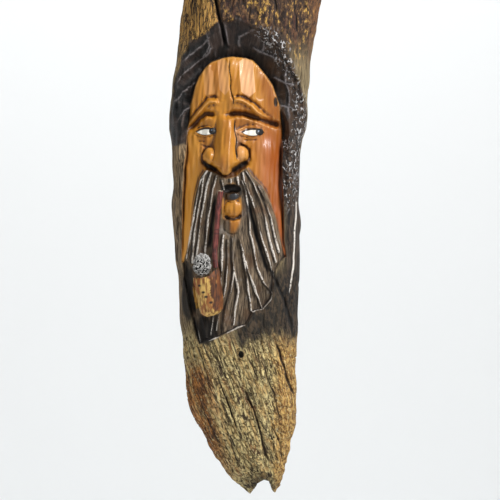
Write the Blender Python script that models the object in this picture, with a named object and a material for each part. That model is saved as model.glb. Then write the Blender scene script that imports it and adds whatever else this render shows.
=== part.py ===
"""Bearded tree-spirit face with a pipe, carved in a split limb that hangs flat on a wall.

Metres, +Z up. The sawn back lies on y = 0 and faces +Y, the carving faces -Y, and the
origin is the hanging point on the back.
"""

import bmesh
import bpy
import numpy as np

MM = 0.001

# Limb: top, lower tip, and the two outlines as height and side position
LIMB_TOP = 107 * MM
LIMB_FOOT = -420 * MM
LEFT_EDGE = MM * np.array([
    (107, -40), (60, -46.5), (27, -50.4), (-9, -54.9), (-31, -57.6), (-63, -62.5), (-85, -63),
    (-108, -61.4), (-144, -60), (-171, -59.4), (-207, -57.2), (-243, -54), (-288, -50),
    (-320, -48.4), (-335, -46.2), (-351, -40.5), (-369, -31), (-387, -21.6), (-403, -9), (-420, 9),
])
RIGHT_EDGE = MM * np.array([
    (107, 88.5), (60, 81), (27, 76), (-9, 69.3), (-27, 66.6), (-54, 63.5), (-72, 63), (-88, 61.7),
    (-97, 59), (-126, 56.7), (-153, 56.3), (-207, 56.7), (-243, 54.9), (-333, 54), (-355, 53),
    (-369, 48.8), (-387, 47), (-403, 42.3), (-420, 35.5),
])
# How far the limb's crown stands out from the wall, by height
CREST = MM * np.array([
    (107, 56), (27, 60), (-60, 62), (-200, 58), (-300, 48), (-360, 37), (-400, 22), (-420, 11),
])
# The section goes this far behind its widest line and in from it, as shares of its size
WALL_HEIGHT = 0.16
WALL_INSET = 0.06
SECTION_POWER = 2.35
SECTION_STEPS = 400
FRONT_SHARE = 0.93
CARVED_FROM = 0.3
LEAST_WOOD = 6 * MM
# Side position as a share of the half width, and how far up the broken foot is cut there
TIP_NOTCH = np.array([(-1.0, 0), (-0.45, 10), (0.1, 14), (0.45, 12.5), (0.68, 4), (1.0, 1)])
TIP_BLEND = 40 * MM
TOP_SLANT = 7 * MM
SLANT_FROM = 60 * MM
# Uneven growth of the bark side: pitch, height
WAVES = [(90 * MM, 1.1 * MM), (34 * MM, 0.5 * MM)]

# Mesh density before and after thinning
AROUND = 190
ALONG = 420
LIMB_TRIANGLES = 8900

# Smooth face panel: outline as side and height, depth below the limb's surface by height
PANEL = MM * np.array([
    (-5, -24.3), (7, -25.5), (13, -27.5), (18, -32.4), (25.2, -41.4), (31.5, -50.4), (36.9, -66.6),
    (39.6, -88), (39.6, -126), (40.5, -153), (41.4, -189), (43.2, -204), (-2, -212), (-50.4, -209),
    (-49.5, -153), (-48.6, -126), (-46.8, -112), (-45, -88), (-42.3, -66.6), (-38.7, -51.3),
    (-35.1, -42.3), (-29.7, -34.2), (-23.4, -28.8), (-14, -25.5),
])
PANEL_DEPTH = MM * np.array([
    (-24, 18), (-32, 14), (-45, 12), (-62, 12), (-85, 14), (-110, 14), (-135, 11), (-160, 8),
    (-190, 4), (-206, 0.5),
])
PANEL_MIDDLE = -5 * MM
PANEL_HALF = 44 * MM
PANEL_ROUND = 2.2 * MM
PANEL_BLEND = 0.9 * MM

# Hollow round the head: its rim, its depth by height, and the edges between its gouge cuts
HOOD_RIM = MM * np.array([
    (-61.5, -104), (-61.5, -84), (-60, -62), (-55.8, -35), (-46.8, -15.3), (-36.9, -6.3), (-23.4, 2.7),
    (-12, 8), (0, 8.5), (13.5, 1), (21.6, -1.8), (30.6, -10.8), (39.6, -18.9), (45, -31.5), (54, -45),
    (58, -62), (58, -104),
])
HOOD_DEPTH = MM * np.array([
    (9, 25), (-45, 23), (-66, 20), (-88, 17), (-106, 12), (-116, 7), (-150, 4.5), (-185, 3), (-208, 0),
])
HOOD_BOWL = 0.75
HOOD_ENDS = -100 * MM
HOOD_FADE = 40 * MM
SIDE_STRIP = 8 * MM
STRIP_FADE = (-50 * MM, -82 * MM)
HOOD_CRESTS = [MM * np.array(line) for line in (
    [(-27.9, -4.5), (-24.3, -15.3), (-31.5, -23.4)],
    [(-13.5, 1.8), (-9, -13.5)],
    [(13.5, -0.9), (1.8, -9), (1.8, -16)],
    [(-25.2, -9), (-39.6, -19.8), (-52.2, -28.8)],
    [(-23.4, -18), (-34.2, -27), (-48.6, -37.8), (-57.6, -50.4)],
    [(-39.6, -48.6), (-50.4, -55.8), (-58.5, -65.7)],
    [(-43.2, -70.2), (-52.2, -77.4), (-59.4, -88.2)],
    [(12.6, -16.2), (27, -24.3), (41.4, -30.6)],
    [(25.2, -7.2), (21.6, -19.8)],
    [(41.4, -28.8), (42.3, -40.5), (44.1, -54), (46.8, -81)],
    [(33, -44), (43, -48), (54, -50)],
    [(39, -68), (47, -70), (56, -76)],
)]
HOOD_CREST_WIDTH = 3.2 * MM
HOOD_CREST_RISE = 2.6 * MM
HOOD_CREST_FADE = 4 * MM

# Rounded features of the face: side, height, half width, half height, rise
SOFT_SWELLINGS = MM * np.array([
    (-31.5, -89, 14, 10, -4.5), (11, -88.5, 19, 10, -4.5),
    (-38, -110, 11, 14, 2.2), (24, -110, 15, 14, 2.2),
])
EYEBALLS = MM * np.array([(-29.5, -92, 9.5, 4.6, 2.8), (11, -92, 12.5, 4.8, 2.8)])
NOSE_WINGS = MM * np.array([(-24.5, -114, 7.2, 8, 10), (2.5, -112.5, 7.2, 8, 10)])
NOSTRILS = MM * np.array([(-24.5, -123.5, 6, 3.6, -4.5), (1, -123.2, 6, 3.6, -4.5)])
# Nose wedge: height, half width of its foot, rise over the panel
NOSE = MM * np.array([
    (-76, 7.5, 0), (-82, 8.5, 5.5), (-92, 10, 9), (-101, 11.5, 12), (-108, 14.5, 14.5),
    (-114, 18.5, 16), (-119, 19, 16.5), (-123, 14, 15.5), (-127, 8, 13), (-130, 3.5, 9.5), (-131.5, 0.5, 0),
])
NOSE_SIDE = -11 * MM
NOSE_BRIDGE = 2.6 * MM
NOSE_ROUND = (-0.15, 1.05)
LEAST_GAP = 0.2 * MM
# Ridges and cuts of the face: half width, rise, then points as side and height
FACE_LINES = [
    (4.4, -6.0, [(-45.5, -91), (-35, -80.5), (-27.9, -75.5), (-19.5, -77)]),
    (4.8, -7.0, [(-10, -78), (-3, -75.5), (6.3, -76), (19.8, -80.5), (33, -85), (38, -86)]),
    (2.6, -2.4, [(-45, -83), (-38, -73.5), (-34.2, -69.5), (-27.9, -61.5), (-20.7, -60), (-16.5, -63.5)]),
    (2.6, -2.4, [(-4, -60.5), (1, -60), (6.3, -61), (15.3, -66.5), (24.3, -75), (33.3, -83)]),
    (3.0, 3.4, [
        (-45.5, -87), (-39, -79), (-34.5, -73.8), (-29, -68), (-25.2, -65.3), (-21.5, -65.2), (-17.5, -67),
    ]),
    (3.0, 3.4, [(-5, -64.5), (0, -63.7), (4.5, -64.7), (12, -69.3), (18, -75.5), (24, -81)]),
    (1.7, 1.4, [(-40.5, -94.5), (-34, -89), (-27, -87.6), (-20.5, -90)]),
    (1.7, 1.4, [(-1.5, -91.5), (7, -87.3), (16, -87), (25, -92.5)]),
    (1.6, -1.2, [(-36, -100), (-29.5, -100.6)]),
    (1.6, -1.2, [(-34, -103.5), (-25, -106)]),
    (1.6, -1.2, [(4.5, -99.6), (18, -99.3)]),
    (1.6, -1.2, [(1, -102.8), (9, -105.5)]),
]
WING_FOLDS = [
    (2.0, -2.2, [(-29, -107.5), (-32.5, -113), (-32, -121)]),
    (2.0, -2.2, [(2, -103), (10, -108), (10.5, -117)]),
]
# Upright gouge facets of the forehead: their edges, their lower end and their depth
FACETS = MM * np.array([-34, -26, -18, -8, 1, 14, 26])
FACET_FOOT = -59 * MM
FACET_ROUND = 5 * MM
FACET_DEPTH = 0.8 * MM

# Moustache and beard: outline, the crests between its locks and the deep gaps, as side and height
HAIR = MM * np.array([
    (-29.7, -126), (-23.4, -127), (-18, -129.6), (-10.8, -133.6), (-1.8, -131.8), (4.5, -126),
    (8.1, -124.2), (14.4, -133.2), (21.6, -139.5), (26.1, -146.7), (30.6, -157.5), (35.1, -171),
    (37.8, -184.5), (40.5, -198), (42.3, -204.3), (36.9, -210.6), (33.3, -216.9), (32, -229.5),
    (29.7, -242), (22.5, -251), (13.5, -253.8), (7.2, -265.5), (0, -267.8), (-15.3, -275.4),
    (-30.6, -281.7), (-35.1, -282.6), (-40.5, -262.8), (-45, -243), (-48.6, -225), (-49.5, -209.7),
    (-45.9, -196.2), (-43.2, -184.5), (-41.4, -171), (-40.5, -157.5), (-37.8, -144), (-34.2, -132.3),
])
HAIR_CRESTS = [MM * np.array(line) for line in (
    [(-27, -127), (-33.3, -136), (-36, -146.7), (-37.8, -157.5), (-40.5, -172.8), (-43.2, -189),
     (-45.9, -205)],
    [(-30.6, -133), (-32.4, -145.8), (-35.1, -160), (-37.8, -176.4), (-39.6, -194.4), (-40.5, -209)],
    [(-23.4, -128.7), (-27.9, -140.4), (-29.7, -153), (-33.3, -171), (-35.1, -189), (-36.9, -202.5)],
    [(-18.9, -131.4), (-22.5, -144), (-24.3, -157.5), (-27, -172.8), (-28.8, -189), (-29.7, -199.8)],
    [(4.5, -128.7), (5.4, -136.8), (8.1, -142.2), (12.6, -153), (18, -172.8), (23.4, -193.5),
     (28.8, -208.8), (32.4, -223.2), (29.7, -236.7)],
    [(3.6, -136.8), (7.2, -145.8), (9.9, -166.5), (11.7, -184.5), (14.4, -200.7), (18, -216),
     (23.4, -227.7), (28.8, -234)],
    [(7.2, -127.8), (13.5, -137.7), (18, -148.5), (23.4, -163.8), (27, -180), (30.6, -196.2),
     (34.2, -208.8)],
    [(18, -140.4), (24.3, -153), (29.7, -169.2), (33.3, -184.5), (36.9, -199.8)],
    [(-5, -187.2), (-4.5, -207), (-2.7, -219.6), (0.5, -235.8), (-1.8, -250.2), (-4, -265.5)],
    [(1.8, -189), (6.3, -209.7), (9, -231.3), (12.6, -252.9)],
    [(-3.6, -217.8), (-6.3, -235.8), (-10.8, -252.9), (-12.2, -270)],
    [(-12.6, -184.5), (-14.4, -198), (-14.4, -217.8), (-17.1, -238.5), (-21.6, -256.5), (-24.3, -274.5)],
    [(-9, -189), (-9, -208.8), (-10.8, -229.5), (-16.2, -252), (-18.9, -270)],
    [(7.2, -208.8), (11.7, -225), (18, -239.4), (21.6, -250.2)],
    [(32.4, -216.9), (32, -229.5), (29.7, -242), (22.5, -251), (13.5, -253.8)],
    [(7.2, -265.5), (0, -267.8), (-15.3, -275.4), (-30.6, -281.7)],
    [(-37.8, -259.2), (-34.2, -280.8)],
    [(-31.5, -259.2), (-28.8, -277.2)],
    [(-14.4, -135), (-12.6, -144)],
    [(-6.3, -135), (-6.3, -142.2)],
    [(0, -133.2), (0.9, -140.4)],
)]
HAIR_DEPTH = MM * np.array([(-118, 7), (-150, 6), (-200, 5), (-250, 5), (-290, 4.5)])
LOCK_WIDTH = 2.2 * MM
LOCK_RISE = 3.2 * MM
HAIR_WAVE = (38 * MM, 0.6 * MM)
HAIR_BLEND = (-0.6 * MM, 1.2 * MM)
HAIR_GAPS = [
    (3.2, -3.2, [(6, -146), (11.7, -166.5), (17.1, -187.2), (22.5, -205.2), (27.9, -220.5)]),
    (2.4, -2.4, [
        (27, -212.4), (30.6, -217.8), (36.9, -233), (41.4, -243), (45, -255.6), (47.7, -264.6),
        (50.4, -283.5),
    ]),
    (3.0, -2.4, [(-19.8, -148), (-23.4, -175.5), (-25.2, -198)]),
    (3.4, -2.0, [(-46.8, -208.8), (-43.2, -234), (-37.8, -256.5)]),
]

# Mouth, lips and chin: side, height, half width, half height, rise
CHIN_CLEAR = MM * np.array((-5.5, -161, 9.5, 24))
CHIN_DEPTH = 8.5 * MM
# The clean chin's edge, as shares of its oval
CHIN_EDGE = (0.8, 1.05)
MOUTH_SHAPES = MM * np.array([
    (-6, -143.5, 9, 4.5, -6), (-5, -150.5, 5.5, 5, 2.5),
    (-4.5, -160.5, 8, 6.5, 3.4), (-4.5, -176, 8.5, 7.5, 3.0),
])
LIP_CUT = (1.6, -1.9, [(-12.5, -167.3), (-6.3, -171), (1.8, -166.8)])

# Splits of the old wood: half width, rise, points. Then its knot holes, as above
SPLITS = [
    (2.4, -7.0, [(-22, 104), (-21, 60), (-20.7, 27), (-18, 16), (-15.3, 7), (-12.6, -5), (-9.5, -16)]),
    (1.8, -2.5, [(4.5, -320), (14.4, -343), (19, -360), (24.3, -378), (29, -392)]),
    (1.8, -2.5, [(33, -279), (38.7, -294), (45, -315), (52, -331)]),
    (1.6, -1.8, [(-11, -328), (-8, -338), (-5, -350)]),
]
KNOTS = MM * np.array([(2.7, -291.6, 2.6, 3.4, -4), (33.8, -65.2, 1.9, 4.6, -2)])
# Lines fade to this share of their rise at both ends, over this share of their length
LINE_END = 0.25
LINE_FADE = 0.16

# Pipe: the twig's path and radius, the bowl's rings as a share of its length and a radius
STEM_POINTS = MM * np.array([
    (-15.2, -55.4, -145), (-16.4, -55.2, -153), (-17.6, -54.8, -163), (-18.9, -54.3, -180),
    (-20.4, -54.2, -197), (-20.6, -54.8, -204), (-19.8, -55.6, -213.9),
])
STEM_RADIUS = 2.6 * MM
BOWL_TOP = MM * np.array((-28.6, -61.5, -222))
BOWL_FOOT = MM * np.array((-22.6, -56.8, -256.5))
BOWL_SIDES = 24
BOWL_RINGS = [
    (0.0, 11.3 * MM), (0.1, 12.0 * MM), (0.4, 12.1 * MM), (0.7, 11.6 * MM), (0.88, 10.4 * MM),
    (0.95, 8.0 * MM), (1.0, 5.0 * MM),
]
BOWL_LUMPS = 0.03
# The bark left on the bowl's right side: where it starts, its thickness and its rise at the rim
BARK_FROM = 0.2
BARK_STEP = 0.07
BARK_RISE = 0.8
FOOT_SLANT = 0.25
DISH_WALL = 2.2 * MM
DISH_DEPTH = 4.6 * MM
TUFT_CENTRE = MM * np.array((-32, -63.1, -211.2))
TUFT_HALF = MM * np.array((9, 8.2, 11.4))
TUFT_LUMPS = (0.07, 0.05)

# Points nearer than this are one, and points this near the wall lie on it
MERGE = 0.01 * MM
BACK_REACH = 0.1 * MM
# Edges sharper than these angles stay crisp, on the limb and on the bowl
LIMB_CRISP = np.radians(40)
BOWL_CRISP = np.radians(35)


def smooth(low, high, value):
    """0 below low, 1 above high and an S-shaped ramp between them."""
    ramp = np.clip((value - low) / (high - low), 0, 1)
    return ramp * ramp * (3 - 2 * ramp)


def along(table, value):
    """Value of a two-column table at each height."""
    order = np.argsort(table[:, 0])
    return np.interp(value, table[order, 0], table[order, 1])


def ripple(x, z, size, seed):
    """Repeatable rolling unevenness between about -1 and 1."""
    total = 0
    for turn in range(4):
        angle = seed + 2.4 * turn
        pitch = 2 * np.pi * (1 + 0.37 * turn) / size
        total = total + np.sin(pitch * (np.cos(angle) * x + np.sin(angle) * z) + 5 * angle)
    return total / 2.6


def distance(path, x, z):
    """Distance from each point to an open line of points, and how far along it lies from 0 to 1."""
    best = np.full(x.shape, 1.0)
    where = np.zeros(x.shape)
    count = len(path) - 1
    for i in range(count):
        start, step = path[i], path[i + 1] - path[i]
        part = np.clip(((x - start[0]) * step[0] + (z - start[1]) * step[1]) / (step @ step), 0, 1)
        gap = np.hypot(x - start[0] - part * step[0], z - start[1] - part * step[1])
        nearer = gap < best
        best = np.where(nearer, gap, best)
        where = np.where(nearer, (i + part) / count, where)
    return best, where


def depth_inside(outline, x, z):
    """Distance inside a closed outline, negative outside it."""
    closed = np.concatenate([outline, outline[:1]])
    within = np.zeros(x.shape, bool)
    for (x0, z0), (x1, z1) in zip(closed[:-1], closed[1:]):
        if z0 == z1:
            continue
        crosses = (z0 > z) != (z1 > z)
        within ^= crosses & (x < x0 + (z - z0) / (z1 - z0) * (x1 - x0))
    gap = distance(closed, x, z)[0]
    return np.where(within, gap, -gap)


def line_relief(line, x, z):
    """A rounded ridge, or a groove where its rise is negative, that fades at both ends."""
    half_width, rise, points = line
    gap, where = distance(MM * np.array(points), x, z)
    ends = smooth(0, LINE_FADE, where) * smooth(1, 1 - LINE_FADE, where)
    return rise * MM * (LINE_END + (1 - LINE_END) * ends) * (1 - smooth(0, half_width * MM, gap))


def crests(lines, x, z, width):
    """1 on the nearest of several lines, falling away steeply beside it."""
    gap = np.full(x.shape, 1.0)
    for line in lines:
        gap = np.minimum(gap, distance(line, x, z)[0])
    return np.exp(-gap / width)


def oval(shape, x, z):
    """0 at the middle of an oval and 1 on its outline."""
    return np.hypot((x - shape[0]) / shape[2], (z - shape[1]) / shape[3])


def mound(shape, x, z):
    """A rounded swelling, or a hollow where its rise is negative."""
    return shape[4] * np.sqrt(np.clip(1 - oval(shape, x, z) ** 2, 0, 1))


def soft_mound(shape, x, z):
    """A swelling that runs out gently into what is round it."""
    return shape[4] * (1 - smooth(0, 1, oval(shape, x, z)))


def nose_rise(x, z):
    """The nose's wedge over the panel."""
    foot = along(NOSE[:, [0, 1]], z)
    rise = along(NOSE[:, [0, 2]], z)
    side = np.abs(x - NOSE_SIDE)
    slope = np.clip((foot - side) / np.maximum(foot - NOSE_BRIDGE, LEAST_GAP), 0, 1)
    return rise * smooth(*NOSE_ROUND, slope) * (slope > 0)


def forehead_facets(x, z):
    """Shallow upright gouge cuts side by side, with rounded lower ends."""
    place = np.interp(x, FACETS, np.arange(len(FACETS)))
    across = 2 * (place - np.floor(place)) - 1
    foot = FACET_FOOT - FACET_ROUND * (1 - across ** 2)
    return FACET_DEPTH * (1 - across ** 2) * smooth(foot - MM, foot + MM, z)


def face_depth(x, z):
    """Depth of the smooth face below the limb's own surface."""
    depth = along(PANEL_DEPTH, z) + PANEL_ROUND * np.abs((x - PANEL_MIDDLE) / PANEL_HALF) ** 3
    depth = depth + forehead_facets(x, z)
    for swelling in SOFT_SWELLINGS:
        depth = depth - soft_mound(swelling, x, z)
    for ball in EYEBALLS:
        depth = depth - mound(ball, x, z)
    for line in FACE_LINES:
        depth = depth - line_relief(line, x, z)
    nose = nose_rise(x, z)
    for wing in NOSE_WINGS:
        nose = np.maximum(nose, mound(wing, x, z))
    depth = depth - nose
    for fold in WING_FOLDS:
        depth = depth - line_relief(fold, x, z)
    return depth


def hair_depth(x, z):
    """Depth of the locks below the limb's own surface: hollow cuts that meet in sharp crests."""
    valley = 1 - crests(HAIR_CRESTS, x, z, LOCK_WIDTH)
    pitch, height = HAIR_WAVE
    return along(HAIR_DEPTH, z) + LOCK_RISE * (valley - 0.5) + height * ripple(x, z, pitch, 5)


def mouth_depth(x, z, depth):
    """The depth with the clean chin, the lips and the open mouth set in."""
    clear = 1 - smooth(*CHIN_EDGE, oval(CHIN_CLEAR, x, z))
    depth = depth + clear * (CHIN_DEPTH - depth)
    for shape in MOUTH_SHAPES:
        depth = depth - mound(shape, x, z)
    return depth - line_relief(LIP_CUT, x, z)


def hood_depth(x, z, panel):
    """Depth of the hollow round the head, zero at its rim and deepest at the face."""
    rim = depth_inside(HOOD_RIM, x, z)
    outside = np.maximum(-panel, LEAST_GAP)
    within = np.maximum(rim, 0)
    deepest = along(HOOD_DEPTH, z)
    hood = deepest * (within / (within + outside)) ** HOOD_BOWL * smooth(HOOD_ENDS, HOOD_ENDS + HOOD_FADE, z)
    strip = deepest * (1 - smooth(0, SIDE_STRIP, outside)) * smooth(*STRIP_FADE, z)
    edges = HOOD_CREST_RISE * crests(HOOD_CRESTS, x, z, HOOD_CREST_WIDTH)
    return np.maximum(hood - edges * smooth(0, HOOD_CREST_FADE, within), strip)


def carving(x, z):
    """Depth of all the carving below the limb's own surface."""
    panel = depth_inside(PANEL, x, z)
    depth = hood_depth(x, z, panel)
    on_face = smooth(-PANEL_BLEND, PANEL_BLEND, panel)
    depth = depth + on_face * (face_depth(x, z) - depth)
    on_hair = smooth(*HAIR_BLEND, depth_inside(HAIR, x, z))
    depth = depth + on_hair * (hair_depth(x, z) - depth)
    for gap in HAIR_GAPS:
        depth = depth - line_relief(gap, x, z)
    depth = mouth_depth(x, z, depth)
    for hole in (*NOSTRILS, *KNOTS):
        depth = depth - mound(hole, x, z)
    for split in SPLITS:
        depth = depth - line_relief(split, x, z)
    return depth


def section(share):
    """Side and height of the limb's section, from its crown at 0 to its back edge at 1."""
    angle = np.linspace(0, np.pi / 2, SECTION_STEPS)
    side = np.sin(angle) ** (2 / SECTION_POWER)
    height = np.cos(angle) ** (2 / SECTION_POWER)
    side = np.append(side, 1 - WALL_INSET)
    height = np.append(height, -WALL_HEIGHT)
    run = np.append(0, np.cumsum(np.hypot(np.diff(side), np.diff(height))))
    return np.interp(share * run[-1], run, side), np.interp(share * run[-1], run, height)


def limb_points(around, z):
    """Points of the limb, where around runs from -1 to 1 from back seam to back seam."""
    share = np.clip(np.abs(around) / FRONT_SHARE, 0, 1)
    side, height = section(share)
    back = smooth(0, 1, np.clip((np.abs(around) - FRONT_SHARE) / (1 - FRONT_SHARE), 0, 1))
    side = side * (1 - back) * np.sign(around)
    left, right = along(LEFT_EDGE, z), along(RIGHT_EDGE, z)
    foot = smooth(LIMB_FOOT + TIP_BLEND, LIMB_FOOT, z)
    z = z + foot * MM * np.interp(side, TIP_NOTCH[:, 0], TIP_NOTCH[:, 1])
    z = z - TOP_SLANT * smooth(SLANT_FROM, LIMB_TOP, z) * side
    middle, half = (left + right) / 2, (right - left) / 2
    y = along(CREST, z) * (height + WALL_HEIGHT) / (1 + WALL_HEIGHT)
    rough = 0
    for seed, (pitch, rise) in enumerate(WAVES, 1):
        rough = rough + rise * ripple((2 + seed) * side * half, z, pitch, seed)
    widest = sum(rise for pitch, rise in WAVES)
    x = middle + side * (half - widest / 2) + rough * side * (1 - back)
    cut = carving(x, z) * smooth(0, CARVED_FROM, height)
    y = np.maximum(y - cut + rough * smooth(0, 2 * CARVED_FROM, height), np.minimum(y, LEAST_WOOD))
    return np.stack([x, np.where(share >= 1, 0, -y), z], axis=1)


def material(name, colour, roughness):
    """A plain Principled material."""
    made = bpy.data.materials.new(name)
    made.use_nodes = True
    shader = made.node_tree.nodes["Principled BSDF"]
    shader.inputs["Base Color"].default_value = (*colour, 1)
    shader.inputs["Roughness"].default_value = roughness
    return made


def add_object(name, mesh, finish, home):
    """A named object of this mesh and material in the collection."""
    mesh.name = name
    made = bpy.data.objects.new(name, mesh)
    home.objects.link(made)
    mesh.materials.clear()
    mesh.materials.append(finish)


def close_end(bm, row, around):
    """Triangles over an open end, from its front edge straight back to its flat one."""
    corner = sum(place <= -FRONT_SHARE for place in around) - 1
    front = row[corner:len(row) - corner]
    back = row[corner::-1] + row[::-1][:corner + 1]
    i = j = 0
    while i + j < len(front) + len(back) - 2:
        front_next = j == len(back) - 1 or (i < len(front) - 1 and front[i + 1].co.x < back[j + 1].co.x)
        third = front[i + 1] if front_next else back[j + 1]
        if third not in (front[i], back[j]) and front[i] != back[j]:
            bm.faces.new((front[i], back[j], third))
        i, j = (i + 1, j) if front_next else (i, j + 1)


def carved_limb(home):
    """A grid rolled round the limb's section, closed at both ends, carved, then thinned."""
    bm = bmesh.new()
    bmesh.ops.create_grid(bm, x_segments=AROUND, y_segments=ALONG, size=1)
    bm.verts.ensure_lookup_table()
    flat = np.array([vert.co[:] for vert in bm.verts])
    z = LIMB_FOOT + (LIMB_TOP - LIMB_FOOT) * (flat[:, 1] + 1) / 2
    for vert, point in zip(bm.verts, limb_points(flat[:, 0], z)):
        vert.co = point
    count = AROUND + 1
    rows = list(bm.verts)
    for row in (rows[:count], rows[-count:]):
        close_end(bm, row, flat[:count, 0])
    bmesh.ops.remove_doubles(bm, verts=bm.verts, dist=MERGE)
    bmesh.ops.recalc_face_normals(bm, faces=bm.faces)
    mesh = bpy.data.meshes.new("limb_full")
    bm.to_mesh(mesh)
    bm.free()
    dense = bpy.data.objects.new("limb_full", mesh)
    home.objects.link(dense)
    thin = dense.modifiers.new("thin", "DECIMATE")
    mesh.calc_loop_triangles()
    thin.ratio = LIMB_TRIANGLES / len(mesh.loop_triangles)
    bpy.context.view_layer.update()
    graph = bpy.context.evaluated_depsgraph_get()
    carved = bpy.data.meshes.new_from_object(dense.evaluated_get(graph))
    bpy.data.objects.remove(dense)
    for vert in carved.vertices:
        if vert.co.y > -BACK_REACH:
            vert.co.y = 0
    add_object("carved_limb", carved, material("weathered_wood", (0.30, 0.20, 0.11), 0.75), home)
    carved.shade_smooth()
    carved.set_sharp_from_angle(angle=LIMB_CRISP)


def pipe_stem(home):
    """A thin twig as a bevelled curve through its chosen points."""
    data = bpy.data.curves.new("pipe_stem", "CURVE")
    data.dimensions = "3D"
    data.resolution_u = 4
    data.bevel_depth = STEM_RADIUS
    data.bevel_resolution = 2
    data.use_fill_caps = True
    line = data.splines.new("NURBS")
    line.points.add(len(STEM_POINTS) - 1)
    for point, place in zip(line.points, STEM_POINTS):
        point.co = (*place, 1)
    line.use_endpoint_u = True
    line.order_u = 3
    stem = bpy.data.objects.new("pipe_stem", data)
    home.objects.link(stem)
    data.materials.append(material("red_twig", (0.16, 0.05, 0.04), 0.5))


def pipe_bowl(home):
    """A whittled twig stub: a cone's rings set along its leaning axis, with a dished top."""
    bm = bmesh.new()
    axis = BOWL_FOOT - BOWL_TOP
    rings = []
    for share, radius in BOWL_RINGS:
        ring = bmesh.ops.create_circle(bm, segments=BOWL_SIDES, radius=radius)["verts"]
        for number, vert in enumerate(ring):
            bark = 1 + BARK_STEP * (vert.co.x > BARK_FROM * radius) * (1 - share)
            lump = bark * (1 + BOWL_LUMPS * np.sin(3 * number + 9 * share))
            rise = BARK_RISE * max(vert.co.x, 0) * (1 - share) ** 3 + FOOT_SLANT * vert.co.x * share
            vert.co = BOWL_TOP + share * axis + np.array((vert.co.x * lump, vert.co.y * lump, rise))
        rings.append(ring)
    for upper, lower in zip(rings[:-1], rings[1:]):
        loops = [e for ring in (upper, lower) for e in bm.edges if e.verts[0] in ring and e.verts[1] in ring]
        bmesh.ops.bridge_loops(bm, edges=loops)
    bmesh.ops.holes_fill(bm, edges=[edge for edge in bm.edges if edge.is_boundary])
    ends = [face for face in bm.faces if len(face.verts) == BOWL_SIDES]
    top = max(ends, key=lambda face: face.calc_center_median().z)
    bmesh.ops.inset_region(bm, faces=[top], thickness=DISH_WALL)
    bmesh.ops.translate(bm, verts=top.verts, vec=(0, 0, -DISH_DEPTH))
    bmesh.ops.recalc_face_normals(bm, faces=bm.faces)
    mesh = bpy.data.meshes.new("pipe_bowl")
    bm.to_mesh(mesh)
    bm.free()
    mesh.shade_smooth()
    mesh.set_sharp_from_angle(angle=BOWL_CRISP)
    add_object("pipe_bowl", mesh, material("peeled_twig", (0.50, 0.33, 0.14), 0.6), home)


def ash_tuft(home):
    """A lumpy ball of fibres that sits in the bowl's dish."""
    bm = bmesh.new()
    bmesh.ops.create_icosphere(bm, subdivisions=3, radius=1)
    for vert in bm.verts:
        x, y, z = vert.co
        coarse = np.sin(7 * x + 3 * y) * np.sin(6 * z + 2 * x)
        fine = np.sin(11 * y + 8 * z)
        lump = 1 + TUFT_LUMPS[0] * coarse + TUFT_LUMPS[1] * fine
        vert.co = TUFT_CENTRE + TUFT_HALF * lump * np.array((x, y, z))
    mesh = bpy.data.meshes.new("ash_tuft")
    bm.to_mesh(mesh)
    bm.free()
    mesh.shade_smooth()
    add_object("ash_tuft", mesh, material("grey_fibre", (0.45, 0.45, 0.43), 0.95), home)


def main():
    for old in list(bpy.data.objects):
        bpy.data.objects.remove(old)
    home = bpy.data.collections.new("tree_face_sculpture")
    bpy.context.scene.collection.children.link(home)
    carved_limb(home)
    pipe_stem(home)
    pipe_bowl(home)
    ash_tuft(home)


main()
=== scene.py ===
import math
import bmesh
import bpy
import numpy as np
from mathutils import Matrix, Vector


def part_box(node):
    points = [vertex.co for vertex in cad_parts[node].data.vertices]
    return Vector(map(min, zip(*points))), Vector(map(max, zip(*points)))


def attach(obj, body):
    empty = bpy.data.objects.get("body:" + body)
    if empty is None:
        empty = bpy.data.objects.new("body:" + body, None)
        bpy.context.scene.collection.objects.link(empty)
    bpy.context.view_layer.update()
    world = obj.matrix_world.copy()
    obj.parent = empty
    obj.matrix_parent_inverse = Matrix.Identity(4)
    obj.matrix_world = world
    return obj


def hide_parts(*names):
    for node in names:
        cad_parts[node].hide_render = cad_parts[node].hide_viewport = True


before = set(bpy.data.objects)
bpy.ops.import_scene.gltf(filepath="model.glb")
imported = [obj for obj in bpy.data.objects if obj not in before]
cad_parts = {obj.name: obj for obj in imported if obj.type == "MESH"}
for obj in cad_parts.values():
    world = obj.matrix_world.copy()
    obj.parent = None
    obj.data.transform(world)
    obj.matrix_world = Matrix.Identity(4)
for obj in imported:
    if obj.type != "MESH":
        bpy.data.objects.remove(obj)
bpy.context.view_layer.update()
bpy.ops.object.select_all(action="DESELECT")

MM = 0.001

# The photograph's frame: side at the object, centre, and the camera's distance
PHOTO_SIDE = 0.45
PHOTO_CENTRE = Vector((10.8, -34, -198)) * MM
CAMERA_DISTANCE = 2.6
SENSOR = 36.0
CLIP = (0.01, 30)

# Limb: top, lower tip, and the two outlines as height and side position
LIMB_TOP = 107 * MM
LIMB_FOOT = -420 * MM
LEFT_EDGE = MM * np.array([
    (107, -40), (60, -46.5), (27, -50.4), (-9, -54.9), (-31, -57.6), (-63, -62.5), (-85, -63),
    (-108, -61.4), (-144, -60), (-171, -59.4), (-207, -57.2), (-243, -54), (-288, -50),
    (-320, -48.4), (-335, -46.2), (-351, -40.5), (-369, -31), (-387, -21.6), (-403, -9), (-420, 9),
])
RIGHT_EDGE = MM * np.array([
    (107, 88.5), (60, 81), (27, 76), (-9, 69.3), (-27, 66.6), (-54, 63.5), (-72, 63), (-88, 61.7),
    (-97, 59), (-126, 56.7), (-153, 56.3), (-207, 56.7), (-243, 54.9), (-333, 54), (-355, 53),
    (-369, 48.8), (-387, 47), (-403, 42.3), (-420, 35.5),
])
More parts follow.
